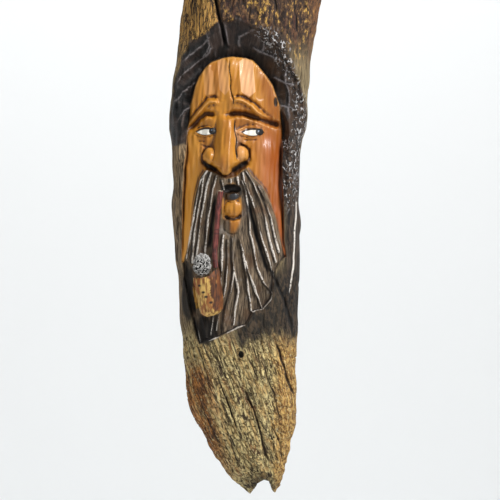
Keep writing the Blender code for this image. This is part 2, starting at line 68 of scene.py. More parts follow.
# How far the limb's crown stands out from the wall, by height
CREST = MM * np.array([
    (107, 56), (27, 60), (-60, 62), (-200, 58), (-300, 48), (-360, 37), (-400, 22), (-420, 11),
])
# The section goes this far behind its widest line and in from it, as shares of its size
WALL_HEIGHT = 0.16
WALL_INSET = 0.06
SECTION_POWER = 2.35
SECTION_STEPS = 400
FRONT_SHARE = 0.93
CARVED_FROM = 0.3
LEAST_WOOD = 6 * MM
# Side position as a share of the half width, and how far up the broken foot is cut there
TIP_NOTCH = np.array([(-1.0, 0), (-0.45, 10), (0.1, 14), (0.45, 12.5), (0.68, 4), (1.0, 1)])
TIP_BLEND = 40 * MM
TOP_SLANT = 7 * MM
SLANT_FROM = 60 * MM
# Uneven growth of the bark side: pitch, height
WAVES = [(90 * MM, 1.1 * MM), (34 * MM, 0.5 * MM)]

# Mesh density before and after thinning
AROUND = 420
ALONG = 900
LIMB_TRIANGLES = 190000

# Smooth face panel: outline as side and height, depth below the limb's surface by height
PANEL = MM * np.array([
    (-5, -24.3), (7, -25.5), (13, -27.5), (18, -32.4), (25.2, -41.4), (31.5, -50.4), (36.9, -66.6),
    (39.6, -88), (39.6, -126), (40.5, -153), (41.4, -189), (43.2, -204), (-2, -212), (-50.4, -209),
    (-49.5, -153), (-48.6, -126), (-46.8, -112), (-45, -88), (-42.3, -66.6), (-38.7, -51.3),
    (-35.1, -42.3), (-29.7, -34.2), (-23.4, -28.8), (-14, -25.5),
])
PANEL_DEPTH = MM * np.array([
    (-24, 18), (-32, 14), (-45, 12), (-62, 12), (-85, 14), (-110, 14), (-135, 11), (-160, 8),
    (-190, 4), (-206, 0.5),
])
PANEL_MIDDLE = -5 * MM
PANEL_HALF = 44 * MM
PANEL_ROUND = 2.2 * MM
PANEL_BLEND = 0.9 * MM

# Hollow round the head: its rim, its depth by height, and the edges between its gouge cuts
HOOD_RIM = MM * np.array([
    (-61.5, -104), (-61.5, -84), (-60, -62), (-55.8, -35), (-46.8, -15.3), (-36.9, -6.3), (-23.4, 2.7),
    (-12, 8), (0, 8.5), (13.5, 1), (21.6, -1.8), (30.6, -10.8), (39.6, -18.9), (45, -31.5), (54, -45),
    (58, -62), (58, -104),
])
HOOD_DEPTH = MM * np.array([
    (9, 25), (-45, 23), (-66, 20), (-88, 17), (-106, 12), (-116, 7), (-150, 4.5), (-185, 3), (-208, 0),
])
HOOD_BOWL = 0.75
HOOD_ENDS = -100 * MM
HOOD_FADE = 40 * MM
SIDE_STRIP = 8 * MM
STRIP_FADE = (-50 * MM, -82 * MM)
HOOD_CRESTS = [MM * np.array(line) for line in (
    [(-27.9, -4.5), (-24.3, -15.3), (-31.5, -23.4)],
    [(-13.5, 1.8), (-9, -13.5)],
    [(13.5, -0.9), (1.8, -9), (1.8, -16)],
    [(-25.2, -9), (-39.6, -19.8), (-52.2, -28.8)],
    [(-23.4, -18), (-34.2, -27), (-48.6, -37.8), (-57.6, -50.4)],
    [(-39.6, -48.6), (-50.4, -55.8), (-58.5, -65.7)],
    [(-43.2, -70.2), (-52.2, -77.4), (-59.4, -88.2)],
    [(12.6, -16.2), (27, -24.3), (41.4, -30.6)],
    [(25.2, -7.2), (21.6, -19.8)],
    [(41.4, -28.8), (42.3, -40.5), (44.1, -54), (46.8, -81)],
    [(33, -44), (43, -48), (54, -50)],
    [(39, -68), (47, -70), (56, -76)],
)]
HOOD_CREST_WIDTH = 4 * MM
HOOD_CREST_RISE = 3.4 * MM
HOOD_CREST_FADE = 4 * MM

# Rounded features of the face: side, height, half width, half height, rise
SOFT_SWELLINGS = MM * np.array([
    (-31.5, -89, 14, 10, -4.5), (11, -88.5, 19, 10, -4.5),
    (-38, -110, 11, 14, 2.2), (24, -110, 15, 14, 2.2),
])
EYEBALLS = MM * np.array([(-29.5, -92, 9.5, 4.6, 2.8), (11, -92, 12.5, 4.8, 2.8)])
NOSE_WINGS = MM * np.array([(-24.5, -114, 7.2, 8, 10), (2.5, -112.5, 7.2, 8, 10)])
# Nose wedge: height, half width of its foot, rise over the panel
NOSE = MM * np.array([
    (-76, 7.5, 0), (-82, 8.5, 5.5), (-92, 10, 9), (-101, 11.5, 12), (-108, 14.5, 14.5),
    (-114, 18.5, 16), (-119, 19, 16.5), (-123, 14, 15.5), (-127, 8, 13), (-130, 3.5, 9.5), (-131.5, 0.5, 0),
])
NOSE_SIDE = -11 * MM
NOSE_BRIDGE = 2.6 * MM
NOSE_ROUND = (-0.15, 1.05)
LEAST_GAP = 0.2 * MM
# Ridges and cuts of the face: half width, rise, then points as side and height
FACE_LINES = [
    (4.4, -6.0, [(-45.5, -91), (-35, -80.5), (-27.9, -75.5), (-19.5, -77)]),
    (4.8, -7.0, [(-10, -78), (-3, -75.5), (6.3, -76), (19.8, -80.5), (33, -85), (38, -86)]),
    (2.6, -2.4, [(-45, -83), (-38, -73.5), (-34.2, -69.5), (-27.9, -61.5), (-20.7, -60), (-16.5, -63.5)]),
    (2.6, -2.4, [(-4, -60.5), (1, -60), (6.3, -61), (15.3, -66.5), (24.3, -75), (33.3, -83)]),
    (3.0, 3.4, [
        (-45.5, -87), (-39, -79), (-34.5, -73.8), (-29, -68), (-25.2, -65.3), (-21.5, -65.2), (-17.5, -67),
    ]),
    (3.0, 3.4, [(-5, -64.5), (0, -63.7), (4.5, -64.7), (12, -69.3), (18, -75.5), (24, -81)]),
    (1.7, 1.4, [(-40.5, -94.5), (-34, -89), (-27, -87.6), (-20.5, -90)]),
    (1.7, 1.4, [(-1.5, -91.5), (7, -87.3), (16, -87), (25, -92.5)]),
    (1.6, -1.2, [(-36, -100), (-29.5, -100.6)]),
    (1.6, -1.2, [(-34, -103.5), (-25, -106)]),
    (1.6, -1.2, [(4.5, -99.6), (18, -99.3)]),
    (1.6, -1.2, [(1, -102.8), (9, -105.5)]),
]
WING_FOLDS = [
    (2.0, -2.2, [(-29, -107.5), (-32.5, -113), (-32, -121)]),
    (2.0, -2.2, [(2, -103), (10, -108), (10.5, -117)]),
]
# Upright gouge facets of the forehead: their edges, their lower end and their depth
FACETS = MM * np.array([-34, -26, -18, -8, 1, 14, 26])
FACET_FOOT = -59 * MM
FACET_ROUND = 5 * MM
FACET_DEPTH = 0.8 * MM

# Moustache and beard: outline, the crests between its locks and the deep gaps, as side and height
HAIR = MM * np.array([
    (-29.7, -126), (-23.4, -127), (-18, -129.6), (-10.8, -133.6), (-1.8, -131.8), (4.5, -126),
    (8.1, -124.2), (14.4, -133.2), (21.6, -139.5), (26.1, -146.7), (30.6, -157.5), (35.1, -171),
    (37.8, -184.5), (40.5, -198), (42.3, -204.3), (36.9, -210.6), (33.3, -216.9), (32, -229.5),
    (29.7, -242), (22.5, -251), (13.5, -253.8), (7.2, -265.5), (0, -267.8), (-15.3, -275.4),
    (-30.6, -281.7), (-35.1, -282.6), (-40.5, -262.8), (-45, -243), (-48.6, -225), (-49.5, -209.7),
    (-45.9, -196.2), (-43.2, -184.5), (-41.4, -171), (-40.5, -157.5), (-37.8, -144), (-34.2, -132.3),
])
HAIR_CRESTS = [MM * np.array(line) for line in (
    [(-27, -127), (-33.3, -136), (-36, -146.7), (-37.8, -157.5), (-40.5, -172.8), (-43.2, -189),
     (-45.9, -205)],
    [(-30.6, -133), (-32.4, -145.8), (-35.1, -160), (-37.8, -176.4), (-39.6, -194.4), (-40.5, -209)],
    [(-23.4, -128.7), (-27.9, -140.4), (-29.7, -153), (-33.3, -171), (-35.1, -189), (-36.9, -202.5)],
    [(-18.9, -131.4), (-22.5, -144), (-24.3, -157.5), (-27, -172.8), (-28.8, -189), (-29.7, -199.8)],
    [(4.5, -128.7), (5.4, -136.8), (8.1, -142.2), (12.6, -153), (18, -172.8), (23.4, -193.5),
     (28.8, -208.8), (32.4, -223.2), (29.7, -236.7)],
    [(3.6, -136.8), (7.2, -145.8), (9.9, -166.5), (11.7, -184.5), (14.4, -200.7), (18, -216),
     (23.4, -227.7), (28.8, -234)],
    [(7.2, -127.8), (13.5, -137.7), (18, -148.5), (23.4, -163.8), (27, -180), (30.6, -196.2),
     (34.2, -208.8)],
    [(18, -140.4), (24.3, -153), (29.7, -169.2), (33.3, -184.5), (36.9, -199.8)],
    [(-5, -187.2), (-4.5, -207), (-2.7, -219.6), (0.5, -235.8), (-1.8, -250.2), (-4, -265.5)],
    [(1.8, -189), (6.3, -209.7), (9, -231.3), (12.6, -252.9)],
    [(-3.6, -217.8), (-6.3, -235.8), (-10.8, -252.9), (-12.2, -270)],
    [(-12.6, -184.5), (-14.4, -198), (-14.4, -217.8), (-17.1, -238.5), (-21.6, -256.5), (-24.3, -274.5)],
    [(-9, -189), (-9, -208.8), (-10.8, -229.5), (-16.2, -252), (-18.9, -270)],
    [(7.2, -208.8), (11.7, -225), (18, -239.4), (21.6, -250.2)],
    [(32.4, -216.9), (32, -229.5), (29.7, -242), (22.5, -251), (13.5, -253.8)],
    [(7.2, -265.5), (0, -267.8), (-15.3, -275.4), (-30.6, -281.7)],
    [(-37.8, -259.2), (-34.2, -280.8)],
    [(-31.5, -259.2), (-28.8, -277.2)],
    [(-14.4, -135), (-12.6, -144)],
    [(-6.3, -135), (-6.3, -142.2)],
    [(0, -133.2), (0.9, -140.4)],
)]
HAIR_DEPTH = MM * np.array([(-118, 7), (-150, 6), (-200, 5), (-250, 5), (-290, 4.5)])
LOCK_WIDTH = 2.2 * MM
LOCK_RISE = 3.2 * MM
HAIR_WAVE = (38 * MM, 0.6 * MM)
HAIR_BLEND = (-0.6 * MM, 1.2 * MM)
HAIR_GAPS = [
    (3.2, -3.2, [(6, -146), (11.7, -166.5), (17.1, -187.2), (22.5, -205.2), (27.9, -220.5)]),
    (2.4, -2.4, [
        (27, -212.4), (30.6, -217.8), (36.9, -233), (41.4, -243), (45, -255.6), (47.7, -264.6),
        (50.4, -283.5),
    ]),
    (3.0, -2.4, [(-19.8, -148), (-23.4, -175.5), (-25.2, -198)]),
    (3.4, -2.0, [(-46.8, -208.8), (-43.2, -234), (-37.8, -256.5)]),
]

# Mouth, lips and chin: side, height, half width, half height, rise
CHIN_CLEAR = MM * np.array((-5.5, -161, 9.5, 24))
CHIN_DEPTH = 8.5 * MM
# The clean chin's edge, as shares of its oval
CHIN_EDGE = (0.8, 1.05)
MOUTH_SHAPES = MM * np.array([
    (-6, -143.5, 9, 4.5, -6), (-5, -150.5, 5.5, 5, 2.5),
    (-4.3, -161, 8, 7.2, 3.4), (-4.5, -176, 8.5, 7.5, 3.0),
])
LIP_CUT = (2.6, -2.6, [(-12.5, -166.8), (-9, -169.8), (-4, -170.8), (0.5, -169.4), (3.6, -165.8)])
MOUTH_DARK = MM * np.array((-6, -146.5, 10.5, 8))

# Splits of the old wood: half width, rise, points. Then its knot holes, as above
SPLITS = [
    (2.4, -7.0, [(-22, 104), (-21, 60), (-20.7, 27), (-18, 16), (-15.3, 7), (-12.6, -5), (-9.5, -16)]),
    (1.8, -2.5, [(4.5, -320), (14.4, -343), (19, -360), (24.3, -378), (29, -392)]),
    (1.8, -2.5, [(33, -279), (38.7, -294), (45, -315), (52, -331)]),
    (1.6, -1.8, [(-11, -328), (-8, -338), (-5, -350)]),
]
KNOTS = MM * np.array([(2.7, -291.6, 2.6, 3.4, -4), (33.8, -65.2, 1.9, 4.6, -2)])
# Lines fade to this share of their rise at both ends, over this share of their length
LINE_END = 0.25
LINE_FADE = 0.16

# Pipe: the twig's path and radius, the bowl's rings as a share of its length and a radius
STEM_POINTS = MM * np.array([
    (-15.2, -55.4, -145), (-16.4, -55.2, -153), (-17.6, -54.8, -163), (-18.9, -54.3, -180),
    (-20.4, -54.2, -197), (-20.6, -54.8, -204), (-19.8, -55.6, -213.9),
])
STEM_RADIUS = 2.6 * MM
BOWL_TOP = MM * np.array((-28.6, -61.5, -222))
BOWL_FOOT = MM * np.array((-22.6, -56.8, -256.5))
BOWL_RINGS = [
    (0.0, 11.3 * MM), (0.1, 12.0 * MM), (0.4, 12.1 * MM), (0.7, 11.6 * MM), (0.88, 10.4 * MM),
    (0.95, 8.0 * MM), (1.0, 5.0 * MM),
]
# The bark left on the bowl's right side: where it starts, its thickness and its rise at the rim
BARK_FROM = 0.2
BARK_STEP = 0.07
BARK_RISE = 0.8
FOOT_SLANT = 0.25
DISH_WALL = 2.2 * MM
DISH_DEPTH = 4.6 * MM
TUFT_CENTRE = MM * np.array((-32, -63.1, -211.2))
TUFT_HALF = MM * np.array((9, 8.2, 11.4))

# Finer surface: guide lines that the hair follows, as height and side position, and cracks
HAIR_GUIDES = [MM * np.array(line) for line in (
    [(-118, -30), (-144, -37.8), (-171, -41.4), (-209, -49.5), (-290, -39)],
    [(-118, -19), (-144, -22.5), (-172, -27), (-200, -29.7), (-240, -31), (-290, -28)],
    [(-118, -8), (-150, -8), (-190, -9), (-230, -10.8), (-290, -19)],
    [(-118, 3), (-146, 7.2), (-184, 11.7), (-216, 18), (-240, 20), (-290, 14)],
    [(-118, 8), (-140, 21.6), (-171, 35), (-204, 42.3), (-240, 36), (-290, 26)],
)]
GUIDE_PITCH = 20 * MM
FACE_MIDDLE = MM * np.array((-5, -75))
SPOKE_RADIUS = 60 * MM
CREST_PAINT = 0.7 * MM
STRIP_PAINT = 0.75 * MM
# Raised edge of the right strip: rise, half width
STRIP_RIDGE = (1.2 * MM, 2.5 * MM)
# The painted shadow beside each crest: how far beside it, and how wide
SHADE_SHIFT = 1.7 * MM
SHADE_WIDTH = 1.4 * MM
# How hand-cut lines wander: how far, over what length, seed
HAIR_WANDER = (0.9 * MM, 14 * MM, 23)
HOOD_WANDER = (2.4 * MM, 12 * MM, 33)
# Surface unevenness: height, then the width, length and seed of its cells
WHITTLED = (0.75 * MM, 11 * MM, 26 * MM, 4)
GOUGED = (2.4 * MM, 13 * MM, 17 * MM, 31)
SCRATCHED = (0.3 * MM, 2.4 * MM, 18 * MM, 32)
CRUMBS = (0.9 * MM, 3.4 * MM, 4.2 * MM, 58)
FINE_FIBRES = (0.5 * MM, 3.2 * MM, 60 * MM, 61)
BROAD_FIBRES = (0.6 * MM, 10 * MM, 110 * MM, 66)
BARK_PLATES = (0.9 * MM, 5 * MM, 11 * MM, 71)
CRACK_WANDER = (0.8 * MM, 4 * MM, 9 * MM, 51)
FISSURE_DEPTH = 1.1 * MM
GALLERY_DEPTH = 0.9 * MM
GALLERY_WARP = 2 * MM
HAIRLINE = 0.5 * MM
HAIRLINE_CELLS = ((2.6 * MM, 50 * MM, 22), (6 * MM, 70 * MM, 24))
# The forehead has this share of the tool marks found below the brows
CALM = 0.12
# Hollows this deep carry the gouge marks: none and all of them
GOUGED_FROM = (1 * MM, 5 * MM)
BROW_LINE = (-66 * MM, -72 * MM)
# Heights between which the lower wood and the bark above set in
LOW_WOOD = (-255 * MM, -285 * MM)
UPPER_WOOD = (-40 * MM, 0)
# Where the hollow's dark finish begins at its rim and ends below, which is lower at its right
HOOD_EDGE = (-0.6 * MM, 1.6 * MM)
HOOD_FOOT = (-114 * MM, -108 * MM)
HOOD_RIGHT = (30 * MM, 38 * MM)
HOOD_RIGHT_DROP = 60 * MM
# Silvery crumbs on the rim: where they fade in the hollow, left, at the slanting right, foot and top
SILVER_INNER = (11 * MM, 6 * MM)
SILVER_LEFT = (12 * MM, 20 * MM)
SILVER_RIGHT = (43 * MM, 36 * MM)
SILVER_SLANT = 0.34
SILVER_FOOT = (-168 * MM, -152 * MM)
SILVER_TOP = (4 * MM, -6 * MM)
NOSTRIL_CUTS = [
    (4.2, -4.0, [(-32, -117), (-28, -121.8), (-23, -124.8), (-17.5, -127)]),
    (5.2, -4.5, [(9.2, -118), (4.5, -121), (-1, -124.5), (-7, -128.2)]),
]
STRIP_RIDGES = [MM * np.array([(53, -155), (51.5, -175), (50.5, -190), (49, -215), (46.8, -236)])]
FACE_CRACKS = [
    (0.9, -1.2, [(-8, -24), (-7.2, -40), (-6.3, -54), (-4.5, -63), (-3.6, -68.5)]),
    (0.8, -0.9, [(-3.6, -79), (-1.8, -99), (-1.4, -120)]),
]
FINE_SPLITS = [
    (1.1, -1.0, [(-19, -312), (-9, -336), (0, -361)]),
    (1.0, -0.9, [(-8, -366), (-2, -384), (2, -396)]),
    (1.1, -1.0, [(20, -294), (32, -326), (38, -352)]),
    (1.1, -1.0, [(-38, -324), (-30, -346), (-17, -374)]),
    (0.9, -0.8, [(10, -296), (19, -316)]),
    (1.2, -1.1, [(31, -356), (38, -374), (41, -388)]),
    (1.4, -1.4, [(28, 70), (31, 34), (36, 12)]),
    (1.4, -1.2, [(52, 60), (50, 22), (54, -8)]),
    (1.2, -1.2, [(-38, 80), (-40, 40), (-42, 8)]),
]
# Scorched places: side, height, half width, half height
SCORCHES = MM * np.array([(-29, -270, 12, 15), (-45, -236, 6, 30), (-14, -140, 5, 5), (-24, -175, 3, 26)])
# The old wood's grain leans below this height, by this much sideways for each step down
LEAN_FROM = -265 * MM
LEAN = 0.38
STEM_KNOTS = [(0.28, 0.018, 0.09), (0.63, 0.02, 0.12)]
TUFT_CORE = 0.72
# Fibres of the tuft: number, points and sides of each, curl, height over the core and its sway,
# radius in mm, and how far they reach at most as a share of the tuft's size
FIBRES = 190
FIBRE_STEPS = 7
FIBRE_SIDES = 4
FIBRE_CURL = (0.35, 1.1)
FIBRE_LIFT = 0.12
FIBRE_SWAY = 0.08
FIBRE_RADIUS = (0.28, 0.5)
TUFT_REACH = 0.96
SEED = 11
# Points along the stem and round it, and the share of its radius at its upper end
STEM_RINGS = 90
STEM_SIDES = 20
STEM_END = 0.8
BOWL_GRID = (110, 100)
# Edges of the bark sleeve, and its unevenness: height, width and length of its cells, seed
BARK_EDGE = 0.03
BARK_FOOT = (0.93, 0.9)
COARSE_TEAR = (0.16, 0.11, 0.6, 81)
FINE_TEAR = (0.06, 0.03, 0.2, 82)
PEELED_FIBRES = (0.02, 0.07, 0.8, 83)
BARK_LUMPS = (0.035, 0.16, 0.14, 84)
JAGGED = (0.9 * MM, 0.22, 9, 85)
# Dark nicks in the bowl, as a turn and a share of its length, and their half size
BOWL_NICKS = ((-1.95, 0.38), (-1.8, 0.5), (-1.5, 0.66), (-2.2, 0.2))
NICK_SIZE = (0.2, 0.045)
# Painted on the face, in millimetres: painted highlights on glossy facets as side, height, half width, half
# height and share, then the eyes as side, height, half width and the iris's side, and the gleam in the mouth
HIGHLIGHT_FACETS = [
    (8.2, -43, 6.4, 17, 0.85), (-13, -42, 4.4, 16, 0.34), (-26, -48, 4.5, 13, 0.2),
    (22.5, -112, 5.5, 30, 0.08), (1.5, -104, 4, 15, 0.3),
]
EYES = [(-28.6, -92, 8.2, -22.7), (13.2, -92.8, 9, 19.4)]
MOUTH_GLEAM = (-3.5, -150.2, 4, 2.8)
# Values that fade out where the carving does
CARVED_VALUES = ("face", "hair", "hood", "silver", "crest", "edge", "shade", "dark", "crack")
MERGE = 0.01 * MM
LEAST_SLOPE = 0.05
SOFT_ANGLE = math.radians(50)
BOWL_ANGLE = math.radians(45)
# Painted shade, partly antiqued stain, in the hollows: cells averaged each way, depth where it starts and
# is full, and its share
HOLLOWS = [(3, 0.1 * MM, 1.1 * MM, 1), (9, 0.4 * MM, 3.0 * MM, 1), (22, 0.8 * MM, 6 * MM, 0.55)]
# Painted highlight, partly rubbed wear, where a point stands proud: the rise where it starts and is full
PROUD = (0.1 * MM, 0.9 * MM)
# Distance out from the wall over which the painted shade and highlight set in
FACING = (-4 * MM, -12 * MM)
# Studio: the floor's height, the backdrop's distance, the size of both and the ambient light, then
# the lights: name, place, target, size, power
FLOOR = -0.9
BACKDROP = 4.5
STAGE_SIZE = 18
AMBIENT_COLOUR = (1.0, 0.98, 0.95, 1)
AMBIENT_STRENGTH = 0.38
LIGHT_TARGET = (0.01, -0.03, -0.2)
LIGHTS = [
    ("key", (0.85, -0.85, 0.75), LIGHT_TARGET, 0.4, 25),
    ("fill", (-1.2, -1.6, 0.1), LIGHT_TARGET, 1.4, 4),
    ("top_light", (0.2, 0.4, 2.2), LIGHT_TARGET, 1.5, 14),
    ("backdrop_light", (0, 3.2, 2.6), (0, BACKDROP, -0.2), 2.5, 100),
]


def smooth(low, high, value):
    """0 below low, 1 above high and an S-shaped ramp between them."""
    ramp = np.clip((value - low) / (high - low), 0, 1)
    return ramp * ramp * (3 - 2 * ramp)


def along(table, value):
    """Value of a two-column table at each height."""
    order = np.argsort(table[:, 0])
    return np.interp(value, table[order, 0], table[order, 1])


def ripple(x, z, size, seed):
    """Repeatable rolling unevenness between about -1 and 1."""
    total = 0
    for turn in range(4):
        angle = seed + 2.4 * turn
        pitch = 2 * np.pi * (1 + 0.37 * turn) / size
        total = total + np.sin(pitch * (np.cos(angle) * x + np.sin(angle) * z) + 5 * angle)
    return total / 2.6


def distance(path, x, z):
    """Distance from each point to an open line of points, and how far along it lies from 0 to 1."""
    best = np.full(x.shape, 1.0)
    where = np.zeros(x.shape)
    count = len(path) - 1
    for i in range(count):
        start, step = path[i], path[i + 1] - path[i]
        part = np.clip(((x - start[0]) * step[0] + (z - start[1]) * step[1]) / (step @ step), 0, 1)
        gap = np.hypot(x - start[0] - part * step[0], z - start[1] - part * step[1])
        nearer = gap < best
        best = np.where(nearer, gap, best)
        where = np.where(nearer, (i + part) / count, where)
    return best, where


def depth_inside(outline, x, z):
    """Distance inside a closed outline, negative outside it."""
    closed = np.concatenate([outline, outline[:1]])
    within = np.zeros(x.shape, bool)
    for (x0, z0), (x1, z1) in zip(closed[:-1], closed[1:]):
        if z0 == z1:
            continue
        crosses = (z0 > z) != (z1 > z)
        within ^= crosses & (x < x0 + (z - z0) / (z1 - z0) * (x1 - x0))
    gap = distance(closed, x, z)[0]
    return np.where(within, gap, -gap)


def line_relief(line, x, z):
    """A rounded ridge, or a groove where its rise is negative, that fades at both ends."""
    half_width, rise, points = line
    gap, where = distance(MM * np.array(points), x, z)
    ends = smooth(0, LINE_FADE, where) * smooth(1, 1 - LINE_FADE, where)
    return rise * MM * (LINE_END + (1 - LINE_END) * ends) * (1 - smooth(0, half_width * MM, gap))


def crests(lines, x, z, width):
    """1 on the nearest of several lines, falling away steeply beside it."""
    gap = np.full(x.shape, 1.0)
    for line in lines:
        gap = np.minimum(gap, distance(line, x, z)[0])
    return np.exp(-gap / width)


def oval(shape, x, z):
    """0 at the middle of an oval and 1 on its outline."""
    return np.hypot((x - shape[0]) / shape[2], (z - shape[1]) / shape[3])


def mound(shape, x, z):
    """A rounded swelling, or a hollow where its rise is negative."""
    return shape[4] * np.sqrt(np.clip(1 - oval(shape, x, z) ** 2, 0, 1))


def soft_mound(shape, x, z):
    """A swelling that runs out gently into what is round it."""
    return shape[4] * (1 - smooth(0, 1, oval(shape, x, z)))


def nose_rise(x, z):
    """The nose's wedge over the panel."""
    foot = along(NOSE[:, [0, 1]], z)
    rise = along(NOSE[:, [0, 2]], z)
    side = np.abs(x - NOSE_SIDE)
    slope = np.clip((foot - side) / np.maximum(foot - NOSE_BRIDGE, LEAST_GAP), 0, 1)
    return rise * smooth(*NOSE_ROUND, slope) * (slope > 0)


def forehead_facets(x, z):
    """Shallow upright gouge cuts side by side, with rounded lower ends."""
    place = np.interp(x, FACETS, np.arange(len(FACETS)))
    across = 2 * (place - np.floor(place)) - 1
    foot = FACET_FOOT - FACET_ROUND * (1 - across ** 2)
    return FACET_DEPTH * (1 - across ** 2) * smooth(foot - MM, foot + MM, z)


def corner_value(i, j, seed):
    """Repeatable value between -1 and 1 for each corner of a whole-number lattice."""
    mixed = (i * 73856093) ^ (j * 19349663) ^ (seed * 83492791)
    mixed = (mixed ^ (mixed >> 13)) * 1274126177
    mixed = mixed ^ (mixed >> 16)
    return (mixed & 0xFFFF) / 32767.5 - 1


def noise(x, z, size_x, size_z, seed):
    """Smooth noise between -1 and 1, with cells of the given width and height."""
    u, v = x / size_x, z / size_z
    i, j = np.floor(u).astype(np.int64), np.floor(v).astype(np.int64)
    s, t = u - i, v - j
    s, t = s * s * (3 - 2 * s), t * t * (3 - 2 * t)
    low = corner_value(i, j, seed) * (1 - s) + corner_value(i + 1, j, seed) * s
    high = corner_value(i, j + 1, seed) * (1 - s) + corner_value(i + 1, j + 1, seed) * s
    return low * (1 - t) + high * t


def rough_noise(x, z, size_x, size_z, seed, layers=3):
    """Noise with ever finer layers on it."""
    total, share = 0, 0.6
    for layer in range(layers):
        total = total + share * noise(x, z, size_x / 2 ** layer, size_z / 2 ** layer, seed + layer)
        share = share / 2
    return total


def blurred(grid, reach):
    """The grid averaged over this many cells each way, along its rows and its columns."""
    for axis in (0, 1):
        grid = sum(np.roll(grid, step, axis) for step in range(-reach, reach + 1)) / (2 * reach + 1)
    return grid


def wandered(x, z, reach, size, seed):
    """The place moved a little, so that a straight line there comes out as cut by hand."""
    moved_x = x + reach * rough_noise(x, z, size, size, seed)
    return moved_x, z + reach * rough_noise(x, z, size, size, seed + 7)


def uneven(kind, x, z, pattern=noise):
    """Unevenness of a kind given as its height, then the width, length and seed of its cells."""
    return kind[0] * pattern(x, z, *kind[1:])


def lock_crest(x, z, width):
    """1 on the wandering crests between the locks."""
    return crests(HAIR_CRESTS, *wandered(x, z, *HAIR_WANDER), width)


def hood_edge(x, z, width):
    """1 on the wandering edges between the gouge cuts round the head."""
    return crests(HOOD_CRESTS, *wandered(x, z, *HOOD_WANDER), width)


def hood_depth(x, z, panel, rim):
    """Depth of the hollow round the head, zero at its rim and deepest at the face."""
    outside = np.maximum(-panel, LEAST_GAP)
    within = np.maximum(rim, 0)
    deepest = along(HOOD_DEPTH, z)
    hood = deepest * (within / (within + outside)) ** HOOD_BOWL * smooth(HOOD_ENDS, HOOD_ENDS + HOOD_FADE, z)
    strip = deepest * (1 - smooth(0, SIDE_STRIP, outside)) * smooth(*STRIP_FADE, z)
    edges = HOOD_CREST_RISE * hood_edge(x, z, HOOD_CREST_WIDTH)
    return np.maximum(hood - edges * smooth(0, HOOD_CREST_FADE, within), strip)


def section(share):
    """Side and height of the limb's section, from its crown at 0 to its back edge at 1."""
    angle = np.linspace(0, np.pi / 2, SECTION_STEPS)
    side = np.sin(angle) ** (2 / SECTION_POWER)
    height = np.cos(angle) ** (2 / SECTION_POWER)
    side = np.append(side, 1 - WALL_INSET)
    height = np.append(height, -WALL_HEIGHT)
    run = np.append(0, np.cumsum(np.hypot(np.diff(side), np.diff(height))))
    return np.interp(share * run[-1], run, side), np.interp(share * run[-1], run, height)


def face_depth(x, z):
    """Depth of the smooth face below the limb's own surface, with its fine tool marks."""
    depth = along(PANEL_DEPTH, z) + PANEL_ROUND * np.abs((x - PANEL_MIDDLE) / PANEL_HALF) ** 3
    depth = depth + forehead_facets(x, z)
    for swelling in SOFT_SWELLINGS:
        depth = depth - soft_mound(swelling, x, z)
    for ball in EYEBALLS:
        depth = depth - mound(ball, x, z)
    for line in FACE_LINES:
        depth = depth - line_relief(line, x, z)
    nose = nose_rise(x, z)
    for wing in NOSE_WINGS:
        nose = np.maximum(nose, mound(wing, x, z))
    depth = depth - nose
    for fold in WING_FOLDS:
        depth = depth - line_relief(fold, x, z)
    below_brows = smooth(*BROW_LINE, z)
    return depth + np.abs(uneven(WHITTLED, x, z)) * (CALM + (1 - CALM) * below_brows)


def hair_strand(x, z):
    """Running distance across the hair, counted from the left guide line and kept along each strand."""
    sides = [along(guide, z) for guide in HAIR_GUIDES]
    place = np.zeros(x.shape)
    for left, right in zip(sides[:-1], sides[1:]):
        place = place + GUIDE_PITCH * np.clip((x - left) / np.maximum(right - left, MM), 0, 1)
    return place


def hair_depth(x, z, strand):
    """Depth of the locks: hollow cuts that meet in sharp crests, with hairlines along them."""
    valley = 1 - lock_crest(x, z, LOCK_WIDTH)
    pitch, height = HAIR_WAVE
    depth = along(HAIR_DEPTH, z) + LOCK_RISE * (valley - 0.5) + height * ripple(x, z, pitch, 5)
    fine, broad = HAIRLINE_CELLS
    lines = rough_noise(strand, z, *fine) + 0.8 * noise(strand, z, *broad)
    return depth + HAIRLINE * lines * valley


def mouth_depth(x, z, depth):
    """The depth with the clean chin, the lips and the open mouth set in, and where the chin is clean."""
    clear = 1 - smooth(*CHIN_EDGE, oval(CHIN_CLEAR, x, z))
    depth = depth + clear * (CHIN_DEPTH - depth)
    for shape in MOUTH_SHAPES:
        depth = depth - mound(shape, x, z)
    return depth - line_relief(LIP_CUT, x, z), clear


def cut_lines(lines, x, z, depth, deep, edges):
    """The depth with these lines cut in it, and a value that is 1 where one of them is deep."""
    for line in lines:
        cut = -line_relief(line, x, z)
        depth = depth + cut
        deep = np.maximum(deep, smooth(*edges, cut / (-line[1] * MM)))
    return depth, deep


def darkened(x, z, dark, off_face):
    """The dark places: painted shade in the knot holes and the lip cut, the open mouth and the scorches."""
    for hole in KNOTS:
        dark = np.maximum(dark, 1 - smooth(0.75, 1.1, oval(hole, x, z)))
    dark = np.maximum(dark, 1 - smooth(0.85, 1.05, oval(MOUTH_DARK, x, z)))
    lips = cut_lines([LIP_CUT], x, z, 0, 0, (0.3, 0.8))[1]
    dark = np.maximum(dark, 0.8 * lips)
    ragged = 0.25 * rough_noise(x, z, 4 * MM, 12 * MM, 53)
    for scorch in SCORCHES:
        dark = np.maximum(dark, (1 - smooth(0.7, 1.1, oval(scorch, x, z) + ragged)) * off_face)
    return dark


def hood_share(x, z, rim):
    """1 in the dark hollow, with torn edges, and 0 outside it."""
    torn = rough_noise(x, z, 9 * MM, 9 * MM, 54)
    foot = z + 9 * MM * torn + HOOD_RIGHT_DROP * smooth(*HOOD_RIGHT, x)
    return smooth(*HOOD_EDGE, rim + 4 * MM * torn) * smooth(*HOOD_FOOT, foot)


